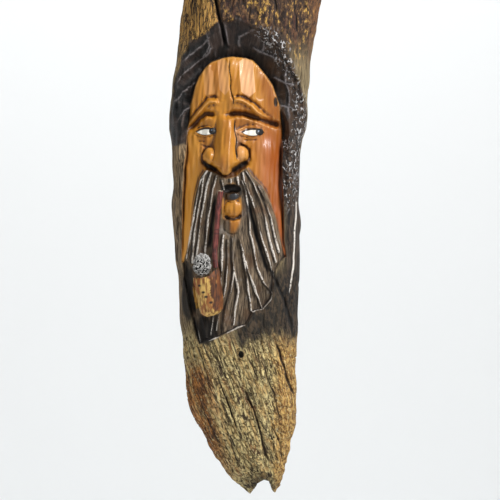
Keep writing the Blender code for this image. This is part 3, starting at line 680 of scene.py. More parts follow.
def silver_share(x, z, rim):
    """1 where the crumbly right rim of the hollow shines silvery."""
    torn = 4 * MM * rough_noise(x, z, 6 * MM, 6 * MM, 57)
    silver = smooth(*SILVER_INNER, rim + torn) * smooth(*SILVER_LEFT, x + torn)
    silver = silver * smooth(*SILVER_RIGHT, x + SILVER_SLANT * z + torn) * smooth(*SILVER_FOOT, z + torn)
    return silver * smooth(*SILVER_TOP, z + torn)


def crest_values(x, z, cut, on_hair, off_carving):
    """Pale paint on the crests of the locks and of the hollow, and the painted shadow beside them."""
    patchy = noise(x, z, 7 * MM, 11 * MM, 56)
    worn = smooth(-20 * MM, -30 * MM, x) * smooth(-250 * MM, -262 * MM, z)
    painted = lock_crest(x, z, CREST_PAINT * (1 + 0.45 * patchy)) * (1 - 0.5 * worn) * (0.8 + 0.45 * patchy)
    scraped = hood_edge(x, z, CREST_PAINT * (1 + 0.6 * patchy)) * cut * off_carving
    # Painted shadow beside each crest of the locks and of the hollow
    beside = lock_crest(x + SHADE_SHIFT, z, SHADE_WIDTH) * on_hair
    under = hood_edge(x + SHADE_SHIFT, z - SHADE_SHIFT, 2 * SHADE_WIDTH) * cut * off_carving
    return painted, scraped, np.maximum(beside, under)


def carving(x, z):
    """Depth of all the carving below the limb's own surface, and a value for each kind of surface."""
    panel, rim, hair = (depth_inside(outline, x, z) for outline in (PANEL, HOOD_RIM, HAIR))
    reach = np.hypot(x - FACE_MIDDLE[0], z - FACE_MIDDLE[1])
    spoke = np.arctan2(z - FACE_MIDDLE[1], x - FACE_MIDDLE[0]) * SPOKE_RADIUS
    depth = hood_depth(x, z, panel, rim)
    cut = smooth(*GOUGED_FROM, depth)
    gouges = GOUGED[0] * (np.abs(noise(spoke, reach, *GOUGED[1:])) - 0.3)
    depth = depth + cut * (gouges + uneven(SCRATCHED, spoke, reach))
    on_face = smooth(-PANEL_BLEND, PANEL_BLEND, panel)
    depth = depth + on_face * (face_depth(x, z) - depth)
    on_hair = smooth(*HAIR_BLEND, hair)
    strand = hair_strand(x, z)
    depth = depth + on_hair * (hair_depth(x, z, strand) - depth)
    # Where the hair's gaps and the nostril cuts are deep, their dark value is painted shade
    depth, dark = cut_lines(HAIR_GAPS, x, z, depth, 0, (0.25, 0.8))
    depth, dark = cut_lines(NOSTRIL_CUTS, x, z, depth, dark, (0.48, 0.82))
    depth, chin = mouth_depth(x, z, depth)
    for hole in KNOTS:
        depth = depth - mound(hole, x, z)
    dark = darkened(x, z, dark, (1 - on_face) * (1 - chin))
    # Where a split is deep, its crack value carries painted shade
    splits = SPLITS + FACE_CRACKS + FINE_SPLITS
    depth, crack = cut_lines(splits, x + uneven(CRACK_WANDER, x, z), z, depth, 0, (0.2, 0.6))
    rise, half_width = STRIP_RIDGE
    depth = depth - rise * crests(STRIP_RIDGES, x, z, half_width)
    silver = silver_share(x, z, rim) * (1 - on_face) * (1 - on_hair)
    depth = depth + silver * CRUMBS[0] * rough_noise(x, z, *CRUMBS[1:])
    off_carving = (1 - on_face) * (1 - on_hair)
    painted, scraped, shade = crest_values(x, z, cut, on_hair * (1 - chin), off_carving)
    ridge = crests(STRIP_RIDGES, *wandered(x, z, *HAIR_WANDER), STRIP_PAINT) * (1 - on_hair)
    return depth, {
        "face": np.maximum(on_face * (1 - on_hair), chin),
        "hair": on_hair * (1 - chin),
        "hood": hood_share(x, z, rim) * (1 - on_face) * (1 - on_hair),
        "silver": silver,
        "crest": np.maximum(painted * smooth(-1 * MM, 0, hair) * (1 - chin), ridge),
        "edge": scraped,
        "shade": shade,
        "dark": dark,
        "crack": crack,
        "strand": strand,
        "spoke": spoke,
        "reach": reach,
    }


def old_wood(girth, z):
    """Depth of the uncarved wood's relief: bark plates above, leaning fibres and galleries below."""
    lean = girth + LEAN * np.minimum(z - LEAN_FROM, 0)
    low, upper = smooth(*LOW_WOOD, z), smooth(*UPPER_WOOD, z)
    depth = uneven(FINE_FIBRES, lean, z, rough_noise) + uneven(BROAD_FIBRES, lean, z, rough_noise)
    fissure = smooth(0.16, 0, np.abs(noise(lean, z, 6 * MM, 42 * MM, 68)))
    fissure = fissure * smooth(-0.1, 0.4, noise(lean, z, 9 * MM, 30 * MM, 69))
    depth = depth + FISSURE_DEPTH * fissure
    shifted = girth + 2 * MM * noise(girth, z, 8 * MM, 8 * MM, 70)
    depth = depth + BARK_PLATES[0] * upper * rough_noise(shifted, z, *BARK_PLATES[1:])
    warp = GALLERY_WARP * noise(girth, z, 6 * MM, 6 * MM, 72)
    gallery = smooth(0.22, 0.05, np.abs(noise(lean + warp, z - warp, 5 * MM, 6 * MM, 73)))
    return depth + GALLERY_DEPTH * low * gallery


def limb_points(around, z):
    """Points of the limb, where around runs from -1 to 1 from back seam to back seam, and their values."""
    share = np.clip(np.abs(around) / FRONT_SHARE, 0, 1)
    side, height = section(share)
    back = smooth(0, 1, np.clip((np.abs(around) - FRONT_SHARE) / (1 - FRONT_SHARE), 0, 1))
    side = side * (1 - back) * np.sign(around)
    left, right = along(LEFT_EDGE, z), along(RIGHT_EDGE, z)
    foot = smooth(LIMB_FOOT + TIP_BLEND, LIMB_FOOT, z)
    z = z + foot * MM * np.interp(side, TIP_NOTCH[:, 0], TIP_NOTCH[:, 1])
    z = z - TOP_SLANT * smooth(SLANT_FROM, LIMB_TOP, z) * side
    middle, half = (left + right) / 2, (right - left) / 2
    y = along(CREST, z) * (height + WALL_HEIGHT) / (1 + WALL_HEIGHT)
    rough = 0
    for seed, (pitch, rise) in enumerate(WAVES, 1):
        rough = rough + rise * ripple((2 + seed) * side * half, z, pitch, seed)
    widest = sum(rise for pitch, rise in WAVES)
    x = middle + side * (half - widest / 2) + rough * side * (1 - back)
    front = smooth(0, CARVED_FROM, height)
    cut, values = carving(x, z)
    bare = 1 - front * np.clip(values["face"] + values["hair"] + values["hood"], 0, 1)
    grain = bare * old_wood(x - np.sign(side) * y, z)
    out_x = np.sign(side) * np.abs(side) ** (SECTION_POWER - 1)
    out_y = np.clip(height, 0, 1) ** (SECTION_POWER - 1)
    length = np.maximum(np.hypot(out_x, out_y), LEAST_SLOPE)
    on_back = share >= 1
    x = x - np.where(on_back, 0, grain * out_x / length)
    y = y - cut * front + rough * smooth(0, 2 * CARVED_FROM, height) - grain * out_y / length
    least = np.minimum(along(CREST, z) * (height + WALL_HEIGHT), LEAST_WOOD)
    y = np.where(on_back, 0, np.maximum(y, least))
    for name in CARVED_VALUES:
        values[name] = values[name] * front
    return np.stack([x, -y, z], axis=1), values


class Signal:
    """One output of a shader node. Operators on it add Math nodes, and call adds any other node."""

    def __init__(self, tree, socket=None):
        self.tree, self.socket = tree, socket

    def call(self, kind, settings=None, values=None, output=0):
        """A new node of this type with its settings and its sockets' values or links: one of its outputs."""
        node = self.tree.nodes.new(kind)
        for name, value in (settings or {}).items():
            setattr(node, name, value)
        for name, value in (values or {}).items():
            if isinstance(value, Signal):
                self.tree.links.new(value.socket, node.inputs[name])
            else:
                node.inputs[name].default_value = value
        return Signal(self.tree, node.outputs[output])

    def maths(self, operation, *values):
        """The result of one Math node on these values."""
        return self.call("ShaderNodeMath", {"operation": operation}, dict(enumerate(values)))

    def __add__(self, other):
        return self.maths("ADD", self, other)

    def __sub__(self, other):
        return self.maths("SUBTRACT", self, other)

    def __rsub__(self, other):
        return self.maths("SUBTRACT", other, self)

    def __mul__(self, other):
        return self.maths("MULTIPLY", self, other)

    def __abs__(self):
        return self.maths("ABSOLUTE", self)

    __radd__ = __add__
    __rmul__ = __mul__

    def ramp(self, low, high):
        """0 at low, 1 at high, smooth between."""
        values = {"Value": self, "From Min": low, "From Max": high}
        return self.call("ShaderNodeMapRange", {"interpolation_type": "SMOOTHSTEP"}, values)

    def stretched(self, x, y, z):
        """This place with its axes scaled, so that a pattern read from it is stretched."""
        return self.call("ShaderNodeMapping", {}, {"Vector": self, "Scale": (x, y, z)})

    def noise(self, scale, detail=3.0, roughness=0.55):
        """Noise between 0 and 1 on this signal read as a place."""
        values = {"Vector": self, "Scale": scale, "Detail": detail, "Roughness": roughness}
        return self.call("ShaderNodeTexNoise", {}, values)

    def veins(self, scale, width, detail=1.0):
        """1 on thin curling lines and 0 between them."""
        return abs(self.noise(scale, detail) - 0.5).ramp(width, width * 0.3)

    def between(self, low, high):
        """A colour between two, with this signal as the share of the second."""
        return self.call("ShaderNodeMix", {"data_type": "RGBA"}, {"Factor": self, 6: low, 7: high}, 2)

    def over(self, colour, share):
        """This colour turned towards another by a share from 0 to 1."""
        return share.between(self, colour)

    def layered(self, *layers):
        """This colour with others laid over it in turn, each given as a colour and its share."""
        colour = self
        for other, share in layers:
            colour = colour.over(other, share)
        return colour


def rgb(red, green, blue):
    """A screen colour from 0 to 255 as the linear colour that a shader takes."""
    parts = [((c / 255 + 0.055) / 1.055) ** 2.4 if c > 10 else c / 255 / 12.92 for c in (red, green, blue)]
    return (*parts, 1)


class Finish:
    """A material with a Principled shader, and the places in millimetres that its maths starts from."""

    def __init__(self, name, coat_roughness=0.2, specular=0.5):
        self.made = bpy.data.materials.new(name)
        self.made.use_nodes = True
        self.tree = self.made.node_tree
        self.shader = self.tree.nodes["Principled BSDF"]
        self.shader.inputs["Coat Roughness"].default_value = coat_roughness
        self.shader.inputs["Specular IOR Level"].default_value = specular
        self.place = Signal(self.tree).call("ShaderNodeTexCoord", output="Object")
        axes = self.place.call("ShaderNodeSeparateXYZ", {}, {0: self.place}).socket.node.outputs
        self.x, self.y, self.z = (Signal(self.tree, axis) * 1000 for axis in axes)

    def value(self, name):
        """A value that the mesh holds at its points."""
        return self.place.call("ShaderNodeAttribute", {"attribute_name": name}, {}, "Fac")

    def at(self, x, y, z):
        """A place built from three signals."""
        return self.place.call("ShaderNodeCombineXYZ", {}, {0: x, 1: y, 2: z})

    def feed(self, **inputs):
        """Links signals to the shader's sockets of these names."""
        for name, signal in inputs.items():
            self.tree.links.new(signal.socket, self.shader.inputs[name.replace("_", " ")])

    def bump(self, height, distance):
        """Fine relief of this height pattern, and its depth in metres."""
        normal = self.place.call("ShaderNodeBump", {}, {"Height": height, "Distance": distance})
        self.feed(Normal=normal)


def near_eye(finish, x, z, half_x, half_z):
    """1 inside an almond shape on the front, in millimetres, and 0 outside it."""
    u = (finish.x - x) * (1 / half_x)
    v = abs(finish.z - z) * (1 / half_z)
    return (1 - u * u - v).ramp(-0.08, 0.12)


def near_block(finish, x, z, half_x, half_z):
    """1 on an upright gouge facet with blunt ends, in millimetres, and 0 outside it."""
    u = abs(finish.x - x + (finish.z - z) * 0.08) * (1 / half_x)
    v = abs(finish.z - z) * (1 / half_z)
    return (u * 0.3 + v).ramp(1.12, 1.06) * u.ramp(1.06, 0.96)


def near_oval(finish, x, z, half_x, half_z):
    """1 inside an oval on the front, in millimetres, and 0 outside it."""
    u = (finish.x - x) * (1 / half_x)
    v = (finish.z - z) * (1 / half_z)
    return (u * u + v * v).ramp(1.15, 0.85)


def low_colour(wood, lean, streak, patch, scribble):
    """Khaki wood below the carving, golden at its right and rusty at its left, with galleries."""
    broad = wood.at(lean, wood.y, wood.z * 0.07).noise(0.3, 3, 0.6)
    pale = wood.at(lean, wood.y, wood.z * 0.7).noise(0.32, 3, 0.6)
    ladder = wood.at(lean * 0.4, wood.y, wood.z * 1.2).veins(0.3, 0.04, 1)
    gold = streak.ramp(0.38, 0.62).between(rgb(126, 80, 32), rgb(216, 176, 102))
    rust = streak.ramp(0.38, 0.62).between(rgb(66, 37, 18), rgb(188, 126, 62))
    left = (wood.x + wood.z * 0.16).ramp(-62, -84) * wood.z.ramp(-292, -312)
    return streak.ramp(0.38, 0.6).between(rgb(92, 73, 40), rgb(226, 206, 146)).layered(
        (rgb(178, 136, 74), broad.ramp(0.52, 0.6) * 0.6),
        (rgb(50, 34, 18), broad.ramp(0.46, 0.36) * 0.85),
        (gold, (wood.x + broad * 24).ramp(40, 50) * 0.9),
        (rust, left * patch.ramp(0.3, 0.5)),
        (rgb(120, 62, 26), patch.ramp(0.6, 0.72) * 0.7),
        (rgb(52, 38, 20), scribble * 0.42),
        (rgb(56, 40, 20), ladder * patch.ramp(0.44, 0.52) * 0.7),
        (rgb(212, 194, 144), pale.ramp(0.58, 0.66) * 0.55),
    )


def bark_colour(wood, streak, fine, patch, fleck):
    """Flecked bark above the carving, with golden stripes at its left and a warm right edge."""
    stripes = streak.ramp(0.4, 0.58).between(rgb(38, 24, 16), rgb(204, 154, 80))
    stripes = stripes.over(rgb(226, 194, 110), fine.ramp(0.56, 0.66) * 0.7)
    gaps = wood.at(wood.x, wood.y, wood.z * 0.35).veins(0.22, 0.04, 3)
    return fleck.ramp(0.4, 0.62).between(rgb(34, 21, 15), rgb(114, 82, 51)).layered(
        (rgb(204, 162, 78), fleck.ramp(0.55, 0.62) * patch.ramp(0.45, 0.55) * 0.9),
        (rgb(86, 48, 36), patch.ramp(0.5, 0.36) * 0.45),
        (stripes, wood.x.ramp(-14, -22) * 0.9),
        (rgb(128, 84, 46), wood.x.ramp(60, 72) * fleck.ramp(0.3, 0.5) * 0.75),
        (rgb(28, 18, 14), gaps * 0.9),
    )


def sawn_colour(wood, patch):
    """The growth rings of the sawn top end."""
    squares = wood.x * wood.x + wood.y * wood.y
    rings = squares.maths("SQRT", squares) * 2.6 + patch * 12
    return (rings.maths("SINE", rings) * 0.5 + 0.5).between(rgb(150, 116, 72), rgb(188, 156, 108))


def old_colour(wood):
    """Weathered wood: bark above, grey sides, a scorched edge, pale wood below, a sawn end and back."""
    below = wood.z - LEAN_FROM / MM
    lean = wood.x + below.maths("MINIMUM", below, 0) * LEAN
    leaning = wood.at(lean, wood.y, wood.z * 0.07)
    streak = leaning.noise(0.6, 5, 0.7)
    fine = leaning.noise(2.4, 3, 0.6)
    patch = wood.at(lean, wood.y, wood.z * 0.3).noise(0.09, 3, 0.6)
    fleck = wood.at(wood.x, wood.y, wood.z * 0.5).noise(0.32, 5, 0.68)
    scribble = wood.at(lean, wood.y, wood.z * 0.6).veins(0.17, 0.05, 2)
    low, upper = wood.z.ramp(-262, -290), wood.z.ramp(-50, 0)
    grey = streak.ramp(0.4, 0.62).between(rgb(50, 37, 25), rgb(156, 132, 100))
    left = wood.z.ramp(-60, -110) * wood.z.ramp(-280, -255) * wood.x.ramp(-38, -50)
    dull = streak.ramp(0.4, 0.66).between(rgb(22, 16, 12), rgb(80, 65, 52))
    right = wood.z.ramp(-90, -120) * wood.z.ramp(-290, -265) * wood.x.ramp(36, 46)
    char = fleck.ramp(0.44, 0.6).between(rgb(10, 7, 5), rgb(64, 50, 36))
    ragged = (patch - 0.5) * 60 + (fleck - 0.5) * 12
    burnt = (wood.z - ragged - wood.x * 0.25).ramp(-290, -278) * wood.z.ramp(-205, -225)
    end = (wood.z + (wood.x - 24) * 0.11).ramp(106.2, 106.8)
    plain = streak.ramp(0.34, 0.66).between(rgb(118, 88, 56), rgb(172, 138, 94))
    plain = plain.over(rgb(104, 80, 56), patch.ramp(0.42, 0.74) * 0.5)
    colour = streak.ramp(0.34, 0.66).between(rgb(70, 58, 38), rgb(158, 140, 104)).layered(
        (low_colour(wood, lean, streak, patch, scribble), low),
        (bark_colour(wood, streak, fine, patch, fleck), upper),
        (grey, left * 0.9),
        (dull, right),
        (char, burnt * (wood.x + ragged * 0.3).ramp(-8, 2) * 0.94),
        (sawn_colour(wood, patch), end),
        (plain, wood.y.ramp(-3, -0.4)),
    )
    return colour, scribble * low * -0.6 + streak * 0.6 + fleck * upper * 0.9


def face_colour(wood):
    """Oiled ochre wood with upright grain, redder on the right cheek, and the painted eyes, with painted
    highlights on facets, ridges and irises, a painted lighter left cheek and painted shade in the hollows.
    """
    grain = wood.at(wood.x, wood.y, wood.z * 0.05).noise(0.55, 5, 0.6)
    cloud = wood.at(wood.x, wood.y, wood.z * 0.4).noise(0.05, 2, 0.5)
    below_lip = wood.x.ramp(-5, -8.5) * wood.z.ramp(-168, -172) * wood.x.ramp(-16, -14)
    colour = grain.ramp(0.2, 0.8).between(rgb(182, 118, 26), rgb(191, 129, 33)).layered(
        (rgb(150, 68, 14), wood.x.ramp(8, 28) * wood.z.ramp(-60, -105) * 0.86),
        (rgb(148, 84, 18), cloud.ramp(0.48, 0.66) * 0.6),
        # Painted light: the lower left cheek, turned away from the main lamp, is lightened
        (rgb(226, 158, 60), wood.x.ramp(-30, -38) * wood.z.ramp(-94, -108) * 0.8),
        (rgb(126, 60, 16), wood.x.ramp(12, 30) * wood.z.ramp(-100, -40) * 0.8),
    )
    # Painted highlights on the glossy facets
    for *facet, share in HIGHLIGHT_FACETS:
        colour = colour.over(rgb(232, 178, 130), near_block(wood, *facet) * share)
    colour = colour.layered(
        # Painted shade, partly antiqued stain, in the hollows, and a painted highlight, partly rubbed wear,
        # on what stands proud
        (rgb(62, 28, 10), wood.value("hollow").ramp(0.06, 0.95) * 0.9),
        (rgb(224, 166, 92), wood.value("proud").ramp(0.25, 1) * 0.4),
        (rgb(92, 74, 56), below_lip),
    )
    for x, z, half, iris in EYES:
        colour = colour.layered(
            (rgb(34, 16, 8), near_eye(wood, x, z + 0.5, half * 1.2, 3.9) * 0.95),
            (rgb(236, 234, 224), near_eye(wood, x, z - 0.2, half, 2.6)),
            (rgb(8, 7, 9), near_oval(wood, iris, z + 0.6, half * 0.4, 3.2)),
            # Painted highlight: a small blue-grey glint on each iris
            (rgb(112, 132, 156), near_oval(wood, iris - 0.9, z + 1.5, 0.7, 0.55)),
        )
    return colour, grain


def hair_colour(wood, hairline):
    """Grey-brown hair with fawn and pale streaks, and painted shade where it is cut in and beside each
    crest.
    """
    pale = wood.place.noise(75, 2).ramp(0.56, 0.7) * hairline.ramp(0.4, 0.6)
    return hairline.ramp(0.36, 0.64).between(rgb(46, 36, 26), rgb(134, 115, 92)).layered(
        (rgb(96, 68, 44), wood.place.noise(60, 2).ramp(0.5, 0.66) * 0.6),
        (rgb(150, 146, 142), pale * 0.5),
        # Painted shade in the hollows and beside each crest
        (rgb(16, 11, 8), wood.value("hollow") * 0.9),
        (rgb(18, 12, 8), wood.value("shade").ramp(0.3, 0.85) * 0.85),
    )


def hood_colour(wood, scratches):
    """Near-black wood of the hollow, rubbed grey and given a painted highlight where it stands proud, brown
    at its right, with painted shade in its deeper cuts and beside its crests.
    """
    cloud = wood.place.noise(70, 3, 0.6)
    return cloud.ramp(0.4, 0.58).between(rgb(6, 4, 3), rgb(47, 33, 26)).layered(
        (rgb(92, 80, 74), scratches.ramp(0.52, 0.66) * cloud.ramp(0.46, 0.6) * 0.75),
        # Painted highlight, partly rubbed wear, on what stands proud
        (rgb(106, 94, 90), wood.value("proud") * scratches.ramp(0.3, 0.6)),
        (rgb(74, 48, 20), wood.x.ramp(10, 24) * wood.z.ramp(-20, -34) * 0.6),
        # Painted shade in the deeper cuts and beside the crests
        (rgb(6, 4, 3), wood.value("hollow") * 0.9),
        (rgb(4, 3, 3), wood.value("shade").ramp(0.3, 0.85) * 0.85),
    )


def limb_finish():
    """The limb's material: old wood, with the carving laid over it by the values that the mesh holds."""
    wood = Finish("carved_and_old_wood", 0.16)
    old, relief = old_colour(wood)
    face, grain = face_colour(wood)
    hairline = wood.at(wood.value("strand") * 1000, wood.y * 0.2, wood.z * 0.05).noise(1.5, 4, 0.65)
    scratches = wood.at(wood.value("spoke") * 1000, wood.value("reach") * 60, 0).noise(0.9, 4, 0.65)
    chalk = wood.place.noise(520, 3, 0.6).ramp(0.32, 0.5)
    crackle = wood.at(wood.x, wood.y, wood.z * 0.6).veins(0.26, 0.055, 1)
    crackle = crackle * wood.place.noise(260, 2).ramp(0.46, 0.56)
    under_flecks = wood.place.noise(330, 3, 0.6).ramp(0.4, 0.64).between(rgb(20, 14, 11), rgb(80, 62, 48))
    silver = crackle.between(under_flecks, rgb(206, 204, 204))
    colour = old.layered(
        # Painted shade, partly antiqued stain, in the hollows of the old wood and of the silvery rim
        (rgb(24, 16, 10), wood.value("hollow") * 0.75),
        (hood_colour(wood, scratches), wood.value("hood")),
        (silver.over(rgb(12, 9, 8), wood.value("hollow") * 0.6), wood.value("silver")),
        (rgb(146, 140, 142), wood.value("edge").ramp(0.1, 0.9) * chalk * 0.62),
        (hair_colour(wood, hairline), wood.value("hair")),
        (face, wood.value("face")),
        # Painted shade in the deep cuts, knot holes and nostrils, with the mouth's black paint and the
        # scorches, then the painted gleam in the mouth
        (rgb(14, 11, 9), wood.value("dark") * 0.92),
        (rgb(34, 38, 44), near_oval(wood, *MOUTH_GLEAM) * wood.value("dark") * 0.9),
        (rgb(222, 214, 204), wood.value("crest").ramp(0.28, 0.62) * chalk),
        # Painted shade in the deep splits and cracks
        (wood.z.ramp(-255, -290).between(rgb(16, 9, 7), rgb(44, 27, 14)), wood.value("crack") * 0.9),
    )
    bare = wood.value("face")
    rough = 0.8 - bare * 0.3 - wood.value("hood") * 0.3 + grain * 0.08
    wood.feed(Base_Color=colour, Roughness=rough, Coat_Weight=bare * 0.16)
    height = relief * (1 - bare) + hairline * wood.value("hair") + scratches * wood.value("hood") * 1.6
    wood.bump(height + crackle * wood.value("silver") + grain * 0.04, 0.0012)
    return wood.made


def twig_finish():
    """The stem's material: a smooth red-brown twig with faint rings and a pale cut end."""
    twig = Finish("reddish_twig")
    streak = twig.place.stretched(1, 1, 0.15).noise(700, 4, 0.6)
    ring = twig.place.stretched(0.3, 0.3, 1).noise(260, 2, 0.5)
    colour = streak.ramp(0.3, 0.7).between(rgb(52, 16, 16), rgb(136, 66, 58))
    colour = colour.over(rgb(52, 24, 22), ring.ramp(0.55, 0.68) * 0.7)
    colour = colour.over(rgb(206, 190, 160), twig.z.ramp(-145.7, -145.2))
    twig.feed(Base_Color=colour, Roughness=0.4 + streak * 0.3, Coat_Weight=streak * 0.2)
    twig.bump(streak, 0.0004)
    return twig.made


def bowl_finish():
    """The bowl's material: honey-coloured peeled wood, dark bark where it was left, and nicks."""
    bowl = Finish("half_peeled_twig")
    streak = bowl.place.stretched(1, 1, 0.12).noise(500, 5, 0.6)
    patch = bowl.place.stretched(1, 1, 0.4).noise(120, 3, 0.6)
    peeled = streak.ramp(0.34, 0.66).between(rgb(116, 68, 22), rgb(224, 184, 102))
    peeled = peeled.over(rgb(140, 74, 26), patch.ramp(0.5, 0.62) * 0.8)
    bark = streak.ramp(0.34, 0.66).between(rgb(44, 21, 9), rgb(128, 72, 30))
    bark = bark.over(rgb(184, 126, 62), patch.ramp(0.56, 0.66) * 0.7)
    colour = peeled.over(bark, bowl.value("bark"))
    colour = colour.over(rgb(36, 22, 14), bowl.value("mark"))
    bowl.feed(Base_Color=colour, Roughness=0.5 + streak * 0.25, Coat_Weight=streak * 0.15)
    bowl.bump(streak + patch, 0.0006)
    return bowl.made


def fibre_finish(name, dark, light):
    """A dull material for the tuft, between two tones."""
    fibre = Finish(name, specular=0.25)
    tone = fibre.place.noise(420, 3, 0.6)
    fibre.feed(Base_Color=tone.ramp(0.3, 0.7).between(dark, light), Roughness=0.85 + tone * 0.1)
    fibre.bump(tone, 0.0004)
    return fibre.made


def dress(piece, finish, node):
    """Gives a piece its material, puts it under the root body and hides the solid that it stands for."""
    piece.data.materials.clear()
    piece.data.materials.append(finish)
    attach(piece, "root")
    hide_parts(node)


def only(piece):
    """Makes this the one selected and active object."""
    bpy.ops.object.select_all(action="DESELECT")
    piece.select_set(True)
    bpy.context.view_layer.objects.active = piece


def rolled_grid(name, columns, rows):
    """A new flat grid, and its points as two coordinates from -1 to 1."""
    bpy.ops.mesh.primitive_grid_add(x_subdivisions=columns, y_subdivisions=rows, size=2)
    piece = bpy.context.active_object
    piece.name = name
    flat = np.empty(len(piece.data.vertices) * 3)
    piece.data.vertices.foreach_get("co", flat)
    return piece, flat.reshape(-1, 3)


def settle(piece, node, points, values):
    """Moves the grid's points into place inside the solid's box and stores their values."""
    low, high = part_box(node)
    mesh = piece.data
    mesh.vertices.foreach_set("co", np.clip(points, np.array(low), np.array(high)).ravel())
    for name, numbers in values.items():
        layer = mesh.attributes.new(name, "FLOAT", "POINT")
        layer.data.foreach_set("value", np.asarray(numbers, np.float32))


def seal(piece):
    """Joins the grid's seam, closes what is open and turns every face outwards."""
    only(piece)
    bpy.ops.object.mode_set(mode="EDIT")
    bpy.ops.mesh.select_all(action="SELECT")
    bpy.ops.mesh.remove_doubles(threshold=MERGE)
    bpy.ops.mesh.fill_holes(sides=0)
    bpy.ops.mesh.select_all(action="SELECT")
    bpy.ops.mesh.normals_make_consistent(inside=False)
    bpy.ops.object.mode_set(mode="OBJECT")


def close_end(bm, row, around):
    """Triangles over an open end, from its front edge straight back to its flat one, notch and all."""
    corner = sum(place <= -FRONT_SHARE for place in around) - 1
    front = row[corner:len(row) - corner]
    back = row[corner::-1] + row[::-1][:corner + 1]
    i = j = 0
    while i + j < len(front) + len(back) - 2:
        front_next = j == len(back) - 1 or (i < len(front) - 1 and front[i + 1].co.x < back[j + 1].co.x)
        third = front[i + 1] if front_next else back[j + 1]
        if third not in (front[i], back[j]) and front[i] != back[j]:
            bm.faces.new((front[i], back[j], third))
        i, j = (i + 1, j) if front_next else (i, j + 1)


def make_limb():
    """A grid rolled round the limb's section, carved, closed and thinned."""
    limb, flat = rolled_grid("carved_wood", AROUND, ALONG)
    z = LIMB_FOOT + (LIMB_TOP - LIMB_FOOT) * (flat[:, 1] + 1) / 2
    points, values = limb_points(flat[:, 0], z)
    rows = len(np.unique(flat[:, 1].round(5)))
    front = points[:, 1].reshape(rows, -1)
    near = front - blurred(front, HOLLOWS[0][0])
    # Painted shade, partly antiqued stain: darker the deeper a point lies below its surroundings
    level = 1
    for reach, shallow, deep, share in HOLLOWS:
        level = level * (1 - share * smooth(shallow, deep, front - blurred(front, reach)))
    hollow = (1 - level).ravel()
    # Painted highlight, partly rubbed wear, where a point stands proud of its surroundings
    proud = smooth(*PROUD, -near).ravel()
    facing = smooth(*FACING, points[:, 1])
    values["hollow"], values["proud"] = hollow * facing, proud * facing
    settle(limb, "carved_limb", points, values)
    bm = bmesh.new()
    bm.from_mesh(limb.data)
    count = len(points) // rows
    verts = list(bm.verts)
    for row in (verts[:count], verts[-count:]):
        close_end(bm, row, flat[:count, 0])
    bm.to_mesh(limb.data)
    bm.free()
    seal(limb)
    limb.data.calc_loop_triangles()
    thin = limb.modifiers.new("thin", "DECIMATE")
    thin.ratio = LIMB_TRIANGLES / len(limb.data.loop_triangles)
    bpy.ops.object.modifier_apply(modifier=thin.name)
    bpy.ops.object.shade_smooth_by_angle(angle=SOFT_ANGLE)
    dress(limb, limb_finish(), "carved_limb")


def tube(bm, points, radii, sides):
    """A closed tube through the points, with a radius at each."""
    rings = []
    for i, point in enumerate(points):
        ahead = points[min(i + 1, len(points) - 1)] - points[max(i - 1, 0)]
        ahead = ahead / np.linalg.norm(ahead)
        across = np.cross(ahead, (0.3, 1, 0.2))
        across = across / np.linalg.norm(across)
        other = np.cross(ahead, across)
        ring = []
        for turn in np.arange(sides) * 2 * math.pi / sides:
            ring.append(bm.verts.new(point + radii[i] * (math.cos(turn) * across + math.sin(turn) * other)))
        rings.append(ring)
    for lower, upper in zip(rings[:-1], rings[1:]):
        for k in range(sides):
            bm.faces.new((lower[k], lower[(k + 1) % sides], upper[(k + 1) % sides], upper[k]))
    bm.faces.new(rings[0][::-1])
    bm.faces.new(rings[-1])


def new_piece(name, bm):
    """An object of this name from the finished shape, selected on its own."""
    mesh = bpy.data.meshes.new(name)
    bmesh.ops.recalc_face_normals(bm, faces=bm.faces)
    bm.to_mesh(mesh)
    bm.free()
    piece = bpy.data.objects.new(name, mesh)
    bpy.context.scene.collection.objects.link(piece)
    only(piece)
    return piece


def curve_through(points, count):
    """Points along a smooth curve through the given ones."""
    ends = np.concatenate([[2 * points[0] - points[1]], points, [2 * points[-1] - points[-2]]])
    line = []
    for place in np.linspace(0, len(points) - 1, count):
        i = min(int(place), len(points) - 2)
        u = place - i
        a, b, c, d = ends[i:i + 4]
        square, cube = 2 * a - 5 * b + 4 * c - d, 3 * b - a - 3 * c + d
        line.append((2 * b + (c - a) * u + square * u * u + cube * u ** 3) / 2)
    return np.array(line)


def make_stem():
    """The twig: a knotty tube that thins a little towards the mouth."""
    line = curve_through(STEM_POINTS, STEM_RINGS)
    share = np.linspace(0, 1, STEM_RINGS)
    thickness = 0.86 + 0.07 * share + 0.03 * np.sin(41 * share) * np.sin(17 * share)
    for place, length, rise in STEM_KNOTS:
        thickness = thickness + rise * np.exp(-((share - place) / length) ** 2)
    radii = STEM_RADIUS * np.minimum(thickness, 1)
    radii[0] = radii[0] * STEM_END
    bm = bmesh.new()
    tube(bm, line, radii, STEM_SIDES)
    stem = new_piece("twig_stem", bm)
    bpy.ops.object.shade_smooth_by_angle(angle=SOFT_ANGLE)
    dress(stem, twig_finish(), "pipe_stem")


